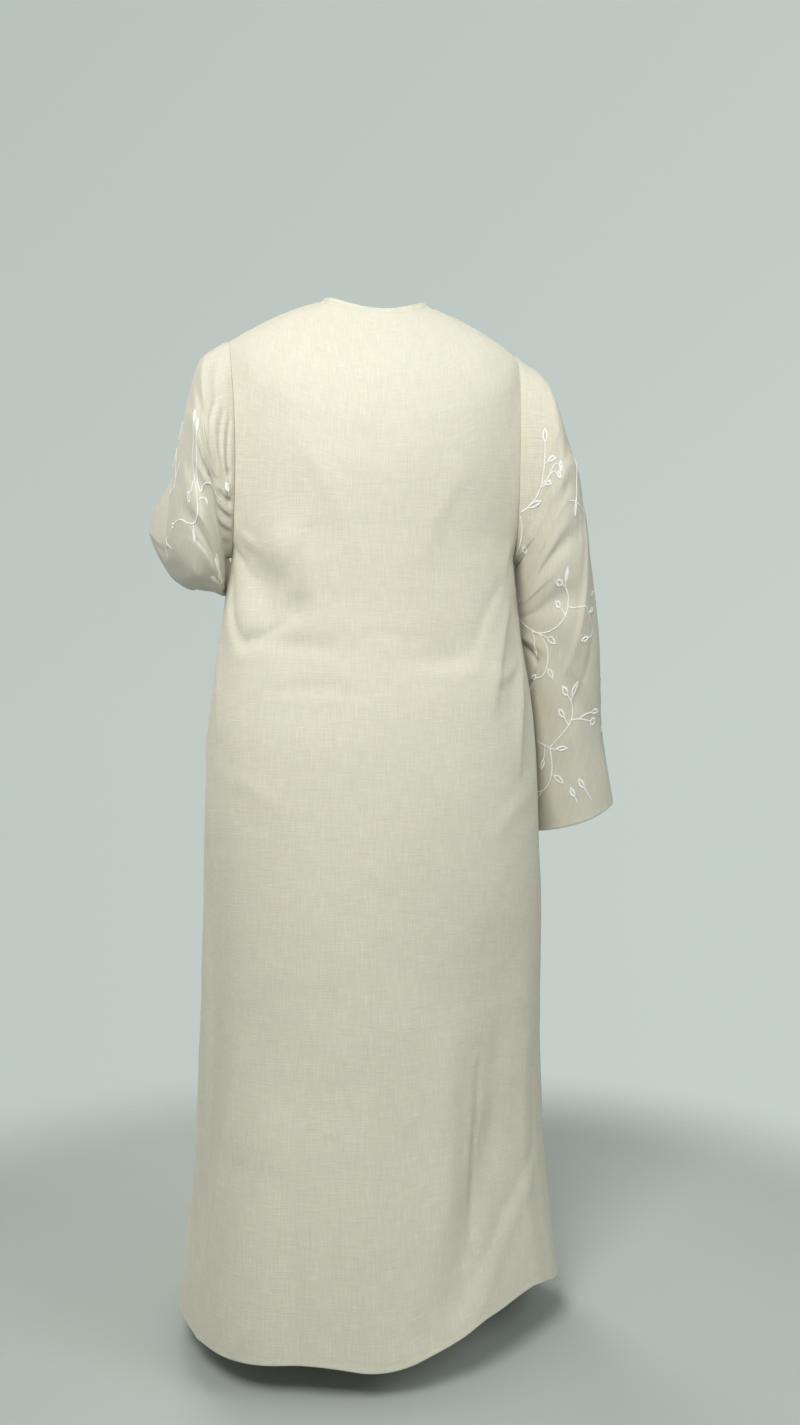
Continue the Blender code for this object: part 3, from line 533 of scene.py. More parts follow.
def stand_out(table, rumples, angle, up, radius, reach=1.0, seed=0):
    """How far the cloth stands out of its ring at each place. A row with a bow and a lean is a crease."""
    out = np.zeros_like(up)
    for name, a0, u0, a1, u1, *form in table:
        crispness = FOLD_CRISPNESS if len(form) == 2 else CREASE_CRISPNESS
        bow, width, height, lean = (0.0, *form, 0.0) if len(form) == 2 else form
        middle = (a0 + a1) / 2
        across = np.radians(middle + (angle - middle + 180) % 360 - 180) * radius
        for k, r in enumerate(radius[:, 0]):
            start, end = (math.radians(a0) * r, u0 * reach), (math.radians(a1) * r, u1 * reach)
            out[k] += height * felt(across[k], up[k], start, end, width, bow, lean, crispness)
    for height, cells, cell, number in rumples:
        out += height * rumple((angle % 360) / 360, up, cells, cell, number + seed)
    return out


def ring_points(rows, angles):
    """Points of the body's rings. The angle is 0 at the left side, 90 degrees at the back, 270 in front."""
    edge = rows[:, None, :3]
    half_width, side_z, back_z, back, front_z, front = (rows[:, k, None] for k in range(3, 9))
    behind = np.sin(angles) >= -1e-9
    depth = np.where(behind, back, front)
    centre_z = np.where(behind, back_z, front_z)
    opening = np.arcsin(edge[..., 1] / depth)
    inward = np.maximum(0.0, (np.abs(np.sin(angles)) - np.sin(opening)) / (1 - np.sin(opening)))
    height = side_z + (centre_z - side_z) * inward**2
    near_hem = np.maximum(0.0, 1 - (height + LENGTH) / HEM_RISE_REACH)
    height = height + follow(*zip(*HEM_RISES), np.degrees(angles) % 360) * near_hem**2
    above = np.clip((edge[..., 2] + UNDERARM_DROP) / UNDERARM_REACH, 0, 1)
    kept = 1 - above * (1 - np.minimum(1.0, inward * FOLD_FADE))
    from_underarm = np.hypot(half_width * (1 - np.abs(np.cos(angles))) + depth * np.abs(np.sin(angles)),
                             height + UNDERARM_DROP)
    kept = kept * (1 - np.exp(-((from_underarm / UNDERARM_CALM) ** 2)))
    radius = (half_width + depth) / 2
    stand = kept * stand_out(BODY_FOLDS + BODY_CREASES, BODY_RUMPLES, np.degrees(angles), height, radius)
    facing = unit(np.stack([np.cos(angles) / half_width, np.sin(angles) / depth, 0 * angles], -1))
    ring = np.stack([half_width * np.cos(angles), depth * np.sin(angles), height], -1)
    lean = edge[..., 0] - half_width * np.cos(opening)
    to_edge = np.stack([lean * np.sign(np.cos(angles)), 0 * lean, (edge[..., 2] - side_z) + 0 * lean], -1)
    return ring + facing * stand[..., None] + to_edge * ((1 - inward) ** EDGE_FADE)[..., None]


def drawn_out(value, slack):
    """Draws a round out to points at its four rails, as a slack cuff hangs."""
    return np.sign(value) * np.abs(value) ** (1 + slack)


def sleeve_points(table, folds, side, seed, pointed=0.0):
    """The rings of a sleeve from the armhole's edge to the cuff, on the side it is sewn to."""
    names, *rails = zip(*table)
    starts = [armhole(turn) for turn in (math.pi, math.pi / 2, 0.0, -math.pi / 2)]
    paths = [np.array([start, *rail]) for start, rail in zip(starts, rails)]
    length = np.linalg.norm(np.diff(paths[0], axis=0), axis=1).sum()
    stations = np.linspace(0, 1, len(table) + 1)
    run = stations_with_edges(SLEEVE_ROWS, SLEEVE_SPAN)
    outer, back, inner, front = (
        np.stack([follow(stations, path[:, axis], run) for axis in range(3)], -1)[:, None] for path in paths
    )
    centre = (outer + inner) / 2
    bow = (back + front) / 2 - centre
    radius = (np.linalg.norm(outer - inner, axis=-1) + np.linalg.norm(back - front, axis=-1)) / 4
    turn = np.linspace(0, 2 * math.pi, SLEEVE_COLUMNS, endpoint=False)[None]
    slack = pointed * run[:, None] ** CUFF_POINT_RISE
    inward, behind = (drawn_out(value, slack) for value in (np.cos(turn), np.sin(turn)))
    arm = (inner - outer) / 2 * inward[..., None] + (back - front) / 2 * behind[..., None]
    along = run[:, None] * length + 0 * turn
    degrees = np.degrees(turn) + 0 * along
    stand = stand_out(folds, SLEEVE_RUMPLES, degrees, along, radius, length, seed)
    stand *= np.minimum(1.0, run[:, None] * SLEEVE_HEAD_CALM)
    grid = centre + bow * (np.sin(turn) ** 2)[..., None] + arm * (1 + stand / radius)[..., None]
    edge = armhole(turn[0])
    ease = np.maximum(0.0, 1 - run * SLEEVE_HEAD_EASE)[:, None, None]
    grid = grid + (edge - grid[0]) * ease
    return grid * (side, 1, 1), run


def grid_normals(grid, closed=False):
    along = np.gradient(grid, axis=0)
    around = np.roll(grid, -1, axis=1) - np.roll(grid, 1, axis=1) if closed else np.gradient(grid, axis=1)
    return unit(np.cross(around, along))


def steps_between(grid, axis):
    """Distances along rows or columns of a grid, from its first line."""
    lengths = np.linalg.norm(np.diff(grid, axis=axis), axis=-1)
    start = np.zeros_like(np.take(lengths, [0], axis=axis))
    return np.concatenate([start, np.cumsum(lengths, axis=axis)], axis=axis)


class Cloth:
    """One piece of cloth: a grid of places on its outside, what each of its edges is, and its wall."""

    def __init__(self, name, node, slot, grid, edges, closed=False, flip=1):
        self.name, self.node, self.slot = name, node, slot
        self.closed, self.flip = closed, flip
        normals = grid_normals(grid, closed) * flip
        across, along = steps_between(grid, 1), steps_between(grid, 0)
        away = {"bottom": along, "top": along[-1:] - along,
                "left": across, "right": across[:, -1:] - across}
        lift = np.zeros(grid.shape[:2])
        wall = np.full(grid.shape[:2], CLOTH)
        for place, (kind, turned) in edges.items():
            distance = away[place]
            if kind == "seam":
                lift -= SEAM_DIP * np.exp(-((distance / SEAM_DIP_WIDTH) ** 2))
            else:
                lift -= STITCH_GROOVE * np.exp(-(((distance - turned) / STITCH_GROOVE_WIDTH) ** 2))
                band = 1 / (1 + np.exp((distance - turned) / TURN_EDGE))
                lift += TURN_LIFT * band
                wall = np.maximum(wall, CLOTH + (TURNED_CLOTH - CLOTH) * band)
        self.grid, self.normals, self.wall = grid + normals * lift[..., None], normals, wall
        self.across, self.along = across, along

    def build(self, material):
        rows, columns = self.grid.shape[:2]
        inner = self.grid - self.normals * self.wall[..., None]
        count = rows * columns
        flat, deep = self.grid.reshape(-1, 3), inner.reshape(-1, 3)
        points = [flat, deep]
        index = np.arange(count).reshape(rows, columns)
        wrap = np.concatenate([index, index[:, :1]], 1) if self.closed else index
        quads = np.stack([wrap[:-1, :-1], wrap[:-1, 1:], wrap[1:, 1:], wrap[1:, :-1]], -1).reshape(-1, 4)
        faces = [quads, quads[:, ::-1] + count]
        if self.closed:
            loops = [(index[0], index[1]), (index[-1][::-1], index[-2][::-1])]
        else:
            ring = np.concatenate([index[0, :-1], index[:-1, -1], index[-1, :0:-1], index[:0:-1, 0]])
            inside = np.concatenate([index[1, :-1], index[:-1, -2], index[-2, :0:-1], index[:0:-1, 1]])
            loops = [(ring, inside)]
        made = 2 * count
        owners = [np.arange(count), np.arange(count)]
        for ring, inside in loops:
            outward = unit(flat[ring] - flat[inside])
            half = self.wall.reshape(-1, 1)[ring] / 2
            points.append((flat[ring] + deep[ring]) / 2 + outward * half * EDGE_ROUND)
            rim = made + np.arange(len(ring))
            made += len(ring)
            owners.append(ring)
            after, rim_after = np.roll(ring, -1), np.roll(rim, -1)
            faces.append(np.stack([rim, rim_after, after, ring], -1))
            faces.append(np.stack([ring + count, after + count, rim_after, rim], -1))
        faces = np.concatenate(faces)
        if self.flip < 0:
            faces = faces[:, ::-1]
        mesh = bpy.data.meshes.new(self.name)
        mesh.from_pydata(np.concatenate(points).tolist(), [], faces.tolist())
        self.unwrap(mesh, np.concatenate(owners)[faces])
        mesh.shade_smooth()
        mesh.materials.append(material)
        made = put(self.name, mesh)
        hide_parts(self.node)
        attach(made, "root")

    def unwrap(self, mesh, place):
        """Lays the threads: metres across the piece and metres along it."""
        columns = self.grid.shape[1]
        row, column = place // columns, place % columns
        if self.closed:
            along = self.along[row, column]
            span = column.max(1, keepdims=True) - column.min(1, keepdims=True)
            column = np.where((span > columns // 2) & (column < columns // 2), column + columns, column)
            girth = float(self.across[:, -1].mean()) * columns / (columns - 1)
            across = column / columns * girth
        else:
            across = self.across[row, column] - self.across[:, columns // 2][row]
            along = self.along[:, columns // 2][row]
        layer = mesh.uv_layers.new(name="threads")
        layer.data.foreach_set("uv", np.stack([across, along], -1).reshape(-1).astype(np.float32))

    def spot(self, row, column):
        """The place and the facing at fractions of rows and columns."""
        rows, columns = self.grid.shape[:2]
        row = np.clip(row, 0, rows - 1.001)
        i = np.floor(row).astype(int)
        v = (row - i)[..., None]
        column = np.mod(column, columns) if self.closed else np.clip(column, 0, columns - 1.001)
        j = np.floor(column).astype(int)
        u = (column - j)[..., None]
        after = (j + 1) % columns
        found = []
        for layer in (self.grid, self.normals):
            low, high = (layer[k, j] * (1 - u) + layer[k, after] * u for k in (i, i + 1))
            found.append(low * (1 - v) + high * v)
        return found[0], unit(found[1])


def put(name, data):
    """A new object with that data, in the scene."""
    made = bpy.data.objects.new(name, data)
    bpy.context.scene.collection.objects.link(made)
    return made


def sockets(group, rows, direction="INPUT"):
    """Gives a node group its sockets from rows of name, type and, where one is set, value."""
    for name, kind, *value in rows:
        made = group.interface.new_socket(name=name, in_out=direction, socket_type="NodeSocket" + kind)
        if value:
            made.default_value = value[0]


def new_finish(name):
    """A new material, its nodes and its shader."""
    material = bpy.data.materials.new(name)
    material.use_nodes = True
    return material, Nodes(material.node_tree), material.node_tree.nodes["Principled BSDF"]


class Nodes:
    """Adds nodes to a tree and joins them, one call a node."""

    def __init__(self, tree):
        self.tree = tree

    def feed(self, node, inputs):
        """Joins a socket to each named input of a node, or sets its value."""
        for key, value in dict(inputs).items():
            if isinstance(value, bpy.types.NodeSocket):
                self.tree.links.new(value, node.inputs[key])
            else:
                node.inputs[key].default_value = value
        return node

    def add(self, kind, inputs=(), **settings):
        node = self.tree.nodes.new(kind)
        for key, value in settings.items():
            setattr(node, key, value)
        return self.feed(node, inputs)

    def take(self, kind, inputs=(), **settings):
        """Adds a node and hands on its first output."""
        return self.add(kind, inputs, **settings).outputs[0]

    def math(self, operation, first, second=0.0, third=0.0):
        return self.take("ShaderNodeMath", {0: first, 1: second, 2: third}, operation=operation)

    def span(self, value, low, high, start=0.0, end=1.0, kind="LINEAR"):
        """A value's place between low and high, as a number from start to end."""
        inputs = {0: value, 1: low, 2: high, 3: start, 4: end}
        return self.take("ShaderNodeMapRange", inputs, interpolation_type=kind)

    def mix(self, share, first, second, blend="MIX"):
        inputs = {0: share, 6: first, 7: second}
        return self.add("ShaderNodeMix", inputs, data_type="RGBA", blend_type=blend).outputs[2]


def linen_group():
    """Plain-weave linen: its threads, slubs of three tones both ways, and the bump that goes with them."""
    group = bpy.data.node_groups.new("linen weave", "ShaderNodeTree")
    sockets(group, [
        ("Threads", "Vector"),
        ("Ground", "Color", (0.66, 0.63, 0.52, 1)),
        ("Pale", "Color", (0.8, 0.78, 0.7, 1)),
        ("Rosy", "Color", (0.68, 0.58, 0.5, 1)),
        ("Slate", "Color", (0.56, 0.6, 0.58, 1)),
        ("Slub Strength", "Float", 0.5),
        ("Thread Pitch", "Float", 0.0009),
    ])
    sockets(group, [("Colour", "Color"), ("Height", "Float"), ("Roughness", "Float")], "OUTPUT")
    n = Nodes(group)
    given = n.add("NodeGroupInput").outputs
    across, along, up = n.add("ShaderNodeSeparateXYZ", {0: given["Threads"]}).outputs

    def streaks(wide, tall, offset, low, high):
        """Streaks of a given width and length in metres, as a mask."""
        place = n.take("ShaderNodeCombineXYZ", {
            0: n.math("MULTIPLY_ADD", across, 1 / wide, offset),
            1: n.math("MULTIPLY_ADD", along, 1 / tall, offset * 1.7),
        })
        inputs = {"Vector": place, "Scale": 1.0, "Detail": 1.5, "Roughness": 0.6}
        noise = n.take("ShaderNodeTexNoise", inputs, noise_dimensions="2D")
        return n.span(noise, low, high, kind="SMOOTHSTEP")

    tone = n.math("MULTIPLY", streaks(*TONE_DRIFT), 0.16)
    colour = n.mix(tone, given["Ground"], given["Rosy"])
    for *streak, tint, amount in SLUBS:
        share = n.math("MULTIPLY", n.math("MULTIPLY", streaks(*streak), amount), given["Slub Strength"])
        colour = n.mix(share, colour, given[tint])
    turns = n.math("DIVIDE", 2 * math.pi, given["Thread Pitch"])
    warp, weft = (n.math("SINE", n.math("MULTIPLY", way, turns)) for way in (across, along))
    plain = n.math("MULTIPLY", warp, weft)
    thick = n.math("ADD", *(streaks(*streak) for streak in THICK_THREADS))
    # Painted highlight and shade on the weave: a little paler where its threads stand up and less pale in its
    # hollows, over a slight paling of the whole
    colour = n.mix(n.math("ADD", 0.05, n.math("MULTIPLY", plain, 0.04)), colour, given["Pale"])
    n.add("NodeGroupOutput", {
        "Colour": colour,
        "Height": n.math("MULTIPLY_ADD", plain, 0.25, n.math("MULTIPLY", thick, 0.8)),
        "Roughness": n.math("MULTIPLY_ADD", thick, -0.05, 0.93),
    })
    return group


def linen(name, group, ground, strength=0.65):
    """A linen finish with its own ground colour."""
    material, n, shader = new_finish(name)
    red, green, blue = ground
    weave = n.add("ShaderNodeGroup", node_tree=group)
    n.feed(weave, {
        "Threads": n.take("ShaderNodeUVMap", uv_map="threads"),
        "Ground": (*ground, 1),
        "Pale": (*[min(1.0, value * 1.22 + 0.03) for value in ground], 1),
        "Rosy": (red, green * 0.88, blue * 0.88, 1),
        "Slate": (red * 0.84, green * 0.92, blue * 1.06, 1),
        "Slub Strength": strength,
    })
    height = weave.outputs["Height"]
    n.feed(shader, {
        "Base Color": weave.outputs["Colour"],
        "Roughness": weave.outputs["Roughness"],
        "Normal": n.take("ShaderNodeBump", {"Strength": 0.6, "Distance": WEAVE_RELIEF, "Height": height}),
        "Sheen Weight": 0.25,
        "Sheen Roughness": 0.5,
        "Sheen Tint": (0.95, 0.94, 0.88, 1),
        "Specular IOR Level": 0.25,
    })
    return material


def thread(name, colour, roughness, sheen):
    """Sewing or embroidery thread, with its twist showing in its bump, and painted shade darkening its colour
    where the bump lies low.
    """
    material, n, shader = new_finish(name)
    place = n.add("ShaderNodeTexCoord").outputs["Object"]
    noise = n.take("ShaderNodeTexNoise", {"Vector": place, "Scale": 900.0, "Detail": 2.0})
    # Painted shade: the thread's colour is darker where its bump lies low
    darker = tuple(value * 0.92 for value in colour)
    n.feed(shader, {
        "Base Color": n.mix(noise, (*darker, 1), (*colour, 1)),
        "Normal": n.take("ShaderNodeBump", {"Strength": 0.3, "Distance": 0.0001, "Height": noise}),
        "Roughness": n.span(noise, 0.0, 1.0, roughness - 0.08, roughness + 0.08),
        "Sheen Weight": sheen,
    })
    return material


def stitch_tree():
    """Stitches laid along lines: each lies along its line or across it, on the cloth's own facing."""
    tree = bpy.data.node_groups.new("stitches on lines", "GeometryNodeTree")
    sockets(tree, [
        ("Lines", "Geometry"),
        ("Spacing", "Float", 0.003),
        ("Stitch Length", "Float", 0.0022),
        ("Thread Width", "Float", 0.0004),
        ("Thread Height", "Float", 0.0003),
        ("Turn", "Float", 0.0),
        ("Unevenness", "Float", 0.1),
        ("Seed", "Int", 3),
        ("Thread", "Material"),
    ])
    sockets(tree, [("Stitches", "Geometry")], "OUTPUT")
    n = Nodes(tree)
    given = n.add("NodeGroupInput").outputs
    curve = n.take("GeometryNodeMeshToCurve", {0: given["Lines"]})
    line = {"Curve": curve, "Length": given["Spacing"]}
    spaced = n.take("GeometryNodeResampleCurve", line, mode="LENGTH")
    tangent = n.take("GeometryNodeInputTangent")
    facing = n.take("GeometryNodeInputNamedAttribute", {"Name": "facing"}, data_type="FLOAT_VECTOR")
    breadth = n.take("GeometryNodeInputNamedAttribute", {"Name": "breadth"}, data_type="FLOAT")
    axes = {"primary_axis": "X", "secondary_axis": "Z"}
    turned = n.take("FunctionNodeAxesToRotation", {0: tangent, 1: facing}, **axes)
    between = {2: -1.0, 3: 1.0, "Seed": given["Seed"]}
    uneven = n.add("FunctionNodeRandomValue", between, data_type="FLOAT").outputs[1]
    swing = n.math("MULTIPLY_ADD", uneven, given["Unevenness"], given["Turn"])
    about = n.take("ShaderNodeCombineXYZ", {2: swing})
    spin = n.take("FunctionNodeEulerToRotation", {0: about})
    laid = n.take("FunctionNodeRotateRotation", {0: turned, 1: spin}, rotation_space="LOCAL")
    length = n.math("MULTIPLY", given["Stitch Length"], breadth)
    size = n.take("ShaderNodeCombineXYZ", {0: length, 1: given["Thread Width"], 2: given["Thread Height"]})
    ball = n.take("GeometryNodeMeshUVSphere", {"Segments": 5, "Rings": 3, "Radius": 0.5})
    stitch = {"Points": spaced, "Instance": ball, "Rotation": laid, "Scale": size}
    real = n.take("GeometryNodeRealizeInstances", {0: n.take("GeometryNodeInstanceOnPoints", stitch)})
    smooth = n.take("GeometryNodeSetShadeSmooth", {0: real})
    done = n.take("GeometryNodeSetMaterial", {"Geometry": smooth, "Material": given["Thread"]})
    n.add("NodeGroupOutput", {"Stitches": done})
    return tree


def sew(name, tree, lines, sizes, material):
    """Turns lines into one mesh of stitches. A line is its places, facings and breadths."""
    points, facings, breadths = (np.concatenate(part) for part in zip(*lines))
    ends = set(np.cumsum([len(line[0]) for line in lines]).tolist())
    edges = [(k, k + 1) for k in range(len(points) - 1) if k + 1 not in ends]
    mesh = bpy.data.meshes.new(name)
    mesh.from_pydata(points.tolist(), edges, [])
    facing = mesh.attributes.new("facing", "FLOAT_VECTOR", "POINT")
    facing.data.foreach_set("vector", facings.astype(np.float32).reshape(-1))
    breadth = mesh.attributes.new("breadth", "FLOAT", "POINT")
    breadth.data.foreach_set("value", breadths.astype(np.float32))
    worked = put(name, mesh)
    modifier = worked.modifiers.new("stitches", "NODES")
    modifier.node_group = tree
    items = [item for item in tree.interface.items_tree if item.item_type == "SOCKET"]
    named = {item.name: item.identifier for item in items}
    for key, value in (*sizes.items(), ("Thread", material)):
        modifier[named[key]] = value
    evaluated = worked.evaluated_get(bpy.context.evaluated_depsgraph_get())
    made = bpy.data.meshes.new_from_object(evaluated)
    worked.modifiers.remove(modifier)
    worked.data = made
    made.name = name
    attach(worked, "root")


def raised(points, facings, breadth, lift):
    """A line just above the cloth, for sew."""
    return points + facings * lift, facings, np.full(len(points), breadth)


class Chart:
    """Reads places on a sleeve by turn in degrees and run from 0 to 1, and small moves in metres."""

    def __init__(self, cloth, run):
        self.cloth, self.run = cloth, run

    def spot(self, turn, run):
        row = np.interp(run, self.run, np.arange(len(self.run)))
        return self.cloth.spot(row, np.asarray(turn, float) / 360 * SLEEVE_COLUMNS)

    def scales(self, turn, run):
        """Metres a degree of turn and metres a unit of run are worth at a place."""
        here, aside, below = self.spot(turn + np.array([0, 3, 0]), run + np.array([0, 0, 0.01]))[0]
        return np.linalg.norm(aside - here) / 3, np.linalg.norm(below - here) / 0.01

    def line(self, turn, run, heading, ahead, aside, breadth):
        """A line laid on the cloth from a place: its metres along a heading and to the side of it."""
        wide, tall = self.scales(turn, run)
        way, side = (math.sin(heading), math.cos(heading)), (math.cos(heading), -math.sin(heading))
        moves = ahead[:, None] * way + aside[:, None] * side
        points, facings = self.spot(turn + moves[:, 0] / wide, run + moves[:, 1] / tall)
        return raised(points, facings, breadth, VINE_LIFT)


def smooth_path(points, steps=9):
    """A soft curve through charted points."""
    points = np.asarray(points, float)
    stations = np.arange(len(points))
    where = np.linspace(0, len(points) - 1, steps * (len(points) - 1) + 1)
    padded = np.concatenate([[2 * points[0] - points[1]], points, [2 * points[-1] - points[-2]]])
    i = np.minimum(where.astype(int), len(points) - 2)
    t = (where - stations[i])[:, None]
    a, b, c, d = (padded[i + k] for k in range(4))
    return 0.5 * (2 * b + (c - a) * t + (2 * a - 5 * b + 4 * c - d) * t**2 + (3 * b - a - 3 * c + d) * t**3)


def leaf_lines(chart, turn, run, heading, size):
    """A pointed leaf with an open middle, its foot at a place and its tip along a heading."""
    share = np.linspace(0, 1, 9)
    breadth = 0.78 + 0.75 * np.sin(math.pi * share)
    swell = np.sin(math.pi * share**0.85) * size
    return [chart.line(turn, run, heading, share * size, swell * reach, breadth) for reach in LEAF_SIDES]


def bud_lines(chart, turn, run, heading, size):
    """A small round bud with an open middle, its foot at a place."""
    around = np.linspace(-math.pi, math.pi, 13)
    ahead, aside = (1 + np.cos(around)) / 2 * size, np.sin(around) / 2 * size
    return [chart.line(turn, run, heading, ahead, aside, BUD_BREADTH)]


def vine_lines(chart, vine, turn_by=0.0, run_by=0.0):
    """The stem, leaves and buds of one vine."""
    name, stem, growths = vine
    path = smooth_path([(turn + turn_by, run + run_by) for turn, run in stem])
    path = path[(path[:, 1] > STEM_RUN[0]) & (path[:, 1] < STEM_RUN[1])]
    last = len(path) - 1
    if last < 3:
        return []
    taper = 0.62 + 0.25 * np.sin(math.pi * np.linspace(0.1, 0.9, last + 1))
    lines = [raised(*chart.spot(path[:, 0], path[:, 1]), taper, VINE_LIFT)]
    for share, side, size, *kind in growths:
        k = int(round(share * last))
        wide, tall = chart.scales(*path[k])
        step = (path[min(last, k + 2)] - path[max(0, k - 2)]) * (wide, tall)
        heading = math.atan2(step[0], step[1]) + side * LEAF_SPREAD
        if share == 0.0:
            heading += math.pi
        turn, run = path[k]
        if side:
            lines.append(chart.line(turn, run, heading, np.linspace(0, STALK, 4), np.zeros(4), 0.6))
            turn += STALK * math.sin(heading) / wide
            run += STALK * math.cos(heading) / tall
        if LEAF_RUN[0] < run < LEAF_RUN[1]:
            make, length = (bud_lines, BUD) if kind else (leaf_lines, LEAF)
            lines += make(chart, turn, run, heading, length * size)
    return lines


# Camera: the photograph's own place, behind the cloak and a little to its right
camera_data = bpy.data.cameras.new("camera")
camera = put("camera", camera_data)
bpy.context.scene.camera = camera
camera_data.lens = 32
camera_data.sensor_width = 36
camera_data.sensor_fit = "AUTO"
camera.location = (0.273, 1.759, -0.570)
camera.rotation_euler = (math.pi / 2, 0, math.radians(170))

# Pieces
rows = body_rows()
quarter = math.pi / 2
behind = np.arcsin(rows[:, 1] / rows[:, 6])
before = np.arcsin(rows[:, 1] / rows[:, 8])
gap_share = (rows[:, 4] + LENGTH) / LENGTH
front_gap = (FRONT_GAP_HEM + (FRONT_GAP_TOP - FRONT_GAP_HEM) * gap_share) / 2 / rows[:, 3]


def panel(start, end, columns, length):
    share = stations_with_edges(columns, length)
    return ring_points(rows, start[:, None] + (end - start)[:, None] * share)


seam = ("seam", 0)
hem = ("turned", HEM_TURN)
front_edge = ("turned", FRONT_TURN)
back_grid = panel(behind, 2 * quarter - behind, BACK_COLUMNS, BACK_SPAN)
right_grid = panel(2 * quarter + before, 3 * quarter - front_gap, FRONT_COLUMNS, FRONT_SPAN)
left_grid = panel(3 * quarter + front_gap, 4 * quarter - before, FRONT_COLUMNS, FRONT_SPAN)
back = Cloth("back_cloth", "back", "linen_body", back_grid,
             {"left": seam, "right": seam, "bottom": hem, "top": seam})
front_right = Cloth("front_right_cloth", "front_right", "linen_body", right_grid,
                    {"left": seam, "right": front_edge, "bottom": hem, "top": seam})
front_left = Cloth("front_left_cloth", "front_left", "linen_body", left_grid,
                   {"left": front_edge, "right": seam, "bottom": hem, "top": seam})
cuff = ("turned", CUFF_TURN)
bent_grid, bent_run = sleeve_points(SLEEVE_BENT, BENT_FOLDS + BENT_CREASES, 1, 31, BENT_CUFF_POINT)
hanging_grid, hanging_run = sleeve_points(SLEEVE_HANGING, HANGING_FOLDS + HANGING_CREASES, -1, 47)
sleeve_left = Cloth("sleeve_left_cloth", "sleeve_left", "linen_sleeve", bent_grid,
                    {"bottom": seam, "top": cuff}, closed=True, flip=1)
sleeve_right = Cloth("sleeve_right_cloth", "sleeve_right", "linen_sleeve", hanging_grid,
                     {"bottom": seam, "top": cuff}, closed=True, flip=-1)

# The binding carries the neck edge a little higher
edge, below = (
    np.concatenate([left_grid[row], back_grid[row][1:], right_grid[row][1:]]) for row in (-1, -BINDING_LAP)
)
climb = unit(edge - below)
upright = unit(climb + np.array([0, 0, BINDING_LIFT]))
strip = []
for share in np.concatenate([np.array([0, 0.0008, 0.002]) / BINDING_HEIGHT, np.linspace(0.35, 1, 6)]):
    lean = share / 2 if share < 0.5 else 0.25 + (share - 0.5)
    strip.append(edge + climb * BINDING_GAP + (climb * (1 - lean) + upright * lean) * BINDING_HEIGHT * share)
binding = Cloth("neck_binding_cloth", "neck_binding", "linen_trim", np.array(strip), {"bottom": seam})
binding.wall[:] = BINDING_CLOTH

weave = linen_group()
body_linen = linen("body linen", weave, (0.610, 0.594, 0.492))
# Painted shade: the sleeves' linen is the body's linen ground made darker throughout
shaded_sleeve_linen = linen("sleeve linen with painted shade", weave, (0.572, 0.557, 0.462), 0.85)
trim_linen = linen("trim linen", weave, (0.612, 0.601, 0.500))
for cloth, material in (
    (back, body_linen), (front_left, body_linen), (front_right, body_linen),
    (sleeve_left, shaded_sleeve_linen), (sleeve_right, shaded_sleeve_linen), (binding, trim_linen),
):
    cloth.build(material)

# Sewing
sewing_thread = thread("sewing thread", (0.70, 0.67, 0.57), 0.6, 0.1)
silk = thread("white embroidery thread", (0.95, 0.95, 0.93), 0.34, 0.4)
tree = stitch_tree()


def row_line(cloth, row):
    points, facings = cloth.grid[row], cloth.normals[row]
    if cloth.closed:
        points, facings = (np.concatenate([values, values[:1]]) for values in (points, facings))
    return raised(points, facings, 1.0, THREAD_LIFT)


def column_line(cloth, column):
    return raised(cloth.grid[:, column], cloth.normals[:, column], 1.0, THREAD_LIFT)


HEM_ROW = EDGE_STEPS.index(HEM_TURN)
FRONT_COLUMN = EDGE_STEPS.index(FRONT_TURN)
front_lines = [column_line(front_left, FRONT_COLUMN), column_line(front_right, -1 - FRONT_COLUMN)]
machine = {"Spacing": 0.0030, "Stitch Length": 0.0024, "Thread Width": 0.00042, "Thread Height": 0.00034,
           "Turn": 0.0, "Unevenness": 0.04}
sew("hem_stitching", tree, [row_line(cloth, HEM_ROW) for cloth in (back, front_left, front_right)],
    machine, sewing_thread)
sew("front_edge_stitching", tree, front_lines, machine, sewing_thread)
sew("cuff_stitching", tree, [row_line(cloth, -1 - HEM_ROW) for cloth in (sleeve_left, sleeve_right)],
    machine, sewing_thread)
sew("neck_stitching", tree, [row_line(binding, 3)], machine, sewing_thread)

satin = {"Spacing": 0.00072, "Stitch Length": STEM_BREADTH, "Thread Width": 0.00096,
         "Thread Height": 0.0008, "Turn": math.radians(68), "Unevenness": 0.12}
bent_chart, hanging_chart = Chart(sleeve_left, bent_run), Chart(sleeve_right, hanging_run)
for name, chart, vines, kind in (
    ("vines_left", bent_chart, BENT_VINES, "bent"),
    ("vines_right", hanging_chart, HANGING_VINES, "hanging"),
):
    lines = [line for vine in vines for line in vine_lines(chart, vine)]
    for sleeve, turn_by, run_by in HIDDEN_REPEATS:
        if sleeve == kind:
            lines += [line for vine in vines for line in vine_lines(chart, vine, turn_by, run_by)]
    sew(name, tree, lines, satin, silk)

# Floor
mesh = bpy.data.meshes.new("floor")
turns = np.arange(FLOOR_CORNERS) * 2 * math.pi / FLOOR_CORNERS
ring = [(FLOOR_RADIUS * math.cos(turn), FLOOR_RADIUS * math.sin(turn), FLOOR_Z) for turn in turns]
mesh.from_pydata(ring, [], [tuple(range(FLOOR_CORNERS))])
floor = put("floor", mesh)
material, n, shader = new_finish("floor paper")
place = n.add("ShaderNodeTexCoord").outputs["Object"]
aside, ahead, up = n.add("ShaderNodeSeparateXYZ", {0: place}).outputs
far = n.math("SQRT", n.math("ADD", n.math("POWER", aside, 2.0), n.math("POWER", ahead, 2.0)))
grain = n.take("ShaderNodeTexNoise", {"Vector": place, "Scale": 3.0, "Detail": 2.0})
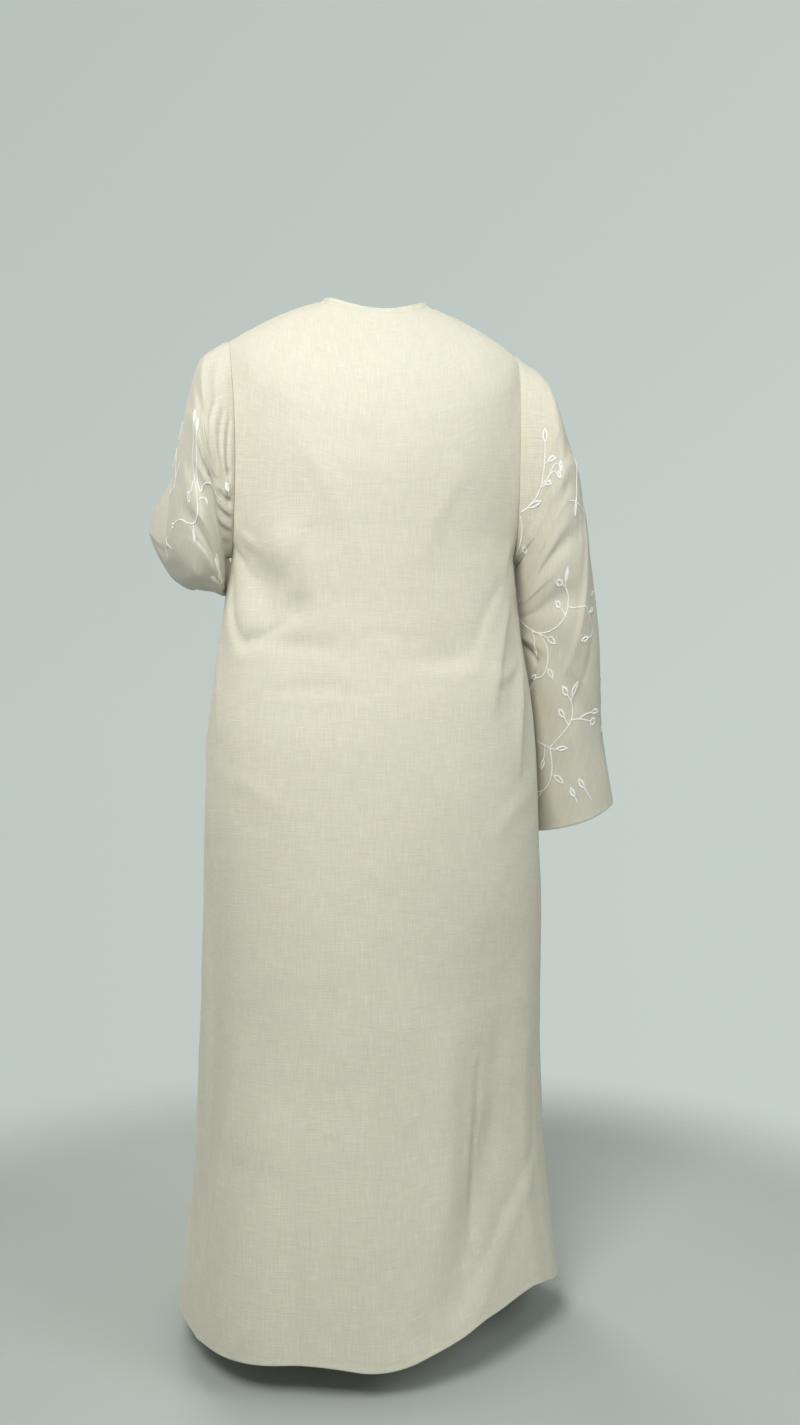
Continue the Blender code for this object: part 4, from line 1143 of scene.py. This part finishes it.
# Painted light and shade on the floor: its colour is lighter towards the front, softening the cloak's shadow
# there, and darker towards the back
near = n.span(ahead, *FLOOR_PAINTED_LIGHT)
cast = n.mix(grain, (0.400, 0.440, 0.425, 1), (0.435, 0.475, 0.460, 1))
near = n.take("ShaderNodeCombineXYZ", {0: near, 1: near, 2: near})
n.feed(shader, {
    "Base Color": n.mix(1.0, cast, near, "MULTIPLY"),
    "Alpha": n.span(far, *FLOOR_FADE, kind="SMOOTHSTEP"),
    "Roughness": 0.9,
    "Specular IOR Level": 0.1,
})
mesh.materials.append(material)

# Light. The room shows at full strength and lights the cloth at part of it.
world = bpy.data.worlds.new("studio")
bpy.context.scene.world = world
world.use_nodes = True
n = Nodes(world.node_tree)
toward = n.add("ShaderNodeTexCoord").outputs["Generated"]
aside, ahead, up = n.add("ShaderNodeSeparateXYZ", {0: toward}).outputs
shade = n.math("MULTIPLY_ADD", aside, *PAPER_SHADE)
shade = n.math("MULTIPLY_ADD", n.math("MAXIMUM", up, 0.0), PAPER_SHADE_UP, shade)
paper = n.add("ShaderNodeMix", {0: shade, 6: (0, 0, 0, 1), 7: (0.545, 0.615, 0.580, 1)}, data_type="RGBA")
paper.clamp_factor = False
seen = n.add("ShaderNodeLightPath").outputs["Is Camera Ray"]
n.feed(world.node_tree.nodes["Background"], {
    "Color": n.mix(seen, (0.545, 0.580, 0.540, 1), paper.outputs[2]),
    "Strength": n.math("MULTIPLY_ADD", seen, 1 - WORLD_GLOW, WORLD_GLOW),
})
bpy.context.scene.view_settings.view_transform = "Standard"


def lamp(name, place, aim, size, power, colour, spread=math.pi):
    data = bpy.data.lights.new(name, "AREA")
    data.size = size
    data.energy = power
    data.color = colour
    data.spread = spread
    made = put(name, data)
    made.location = place
    toward = np.array(aim) - np.array(place)
    flat = math.hypot(toward[0], toward[1])
    made.rotation_euler = (math.atan2(flat, -toward[2]), 0, math.atan2(-toward[0], toward[1]))


lamp("key", (0.9, 1.9, 1.15), (0, 0, -0.24), 1.0, 21.6, (1.0, 0.980, 0.940), math.radians(105))
lamp("fill", (-2.0, 1.7, 0.8), (0, 0, -0.4), 1.4, 22, (0.98, 1.0, 1.0))
lamp("low fill", (1.5, 1.6, -1.0), (0.46, -0.05, -0.42), 0.5, 0.11, (1.0, 1.0, 0.96), math.radians(24))
lamp("front", (0.5, -2.3, 0.9), (0, 0, -0.5), 1.2, 28, (1.0, 0.975, 0.93))
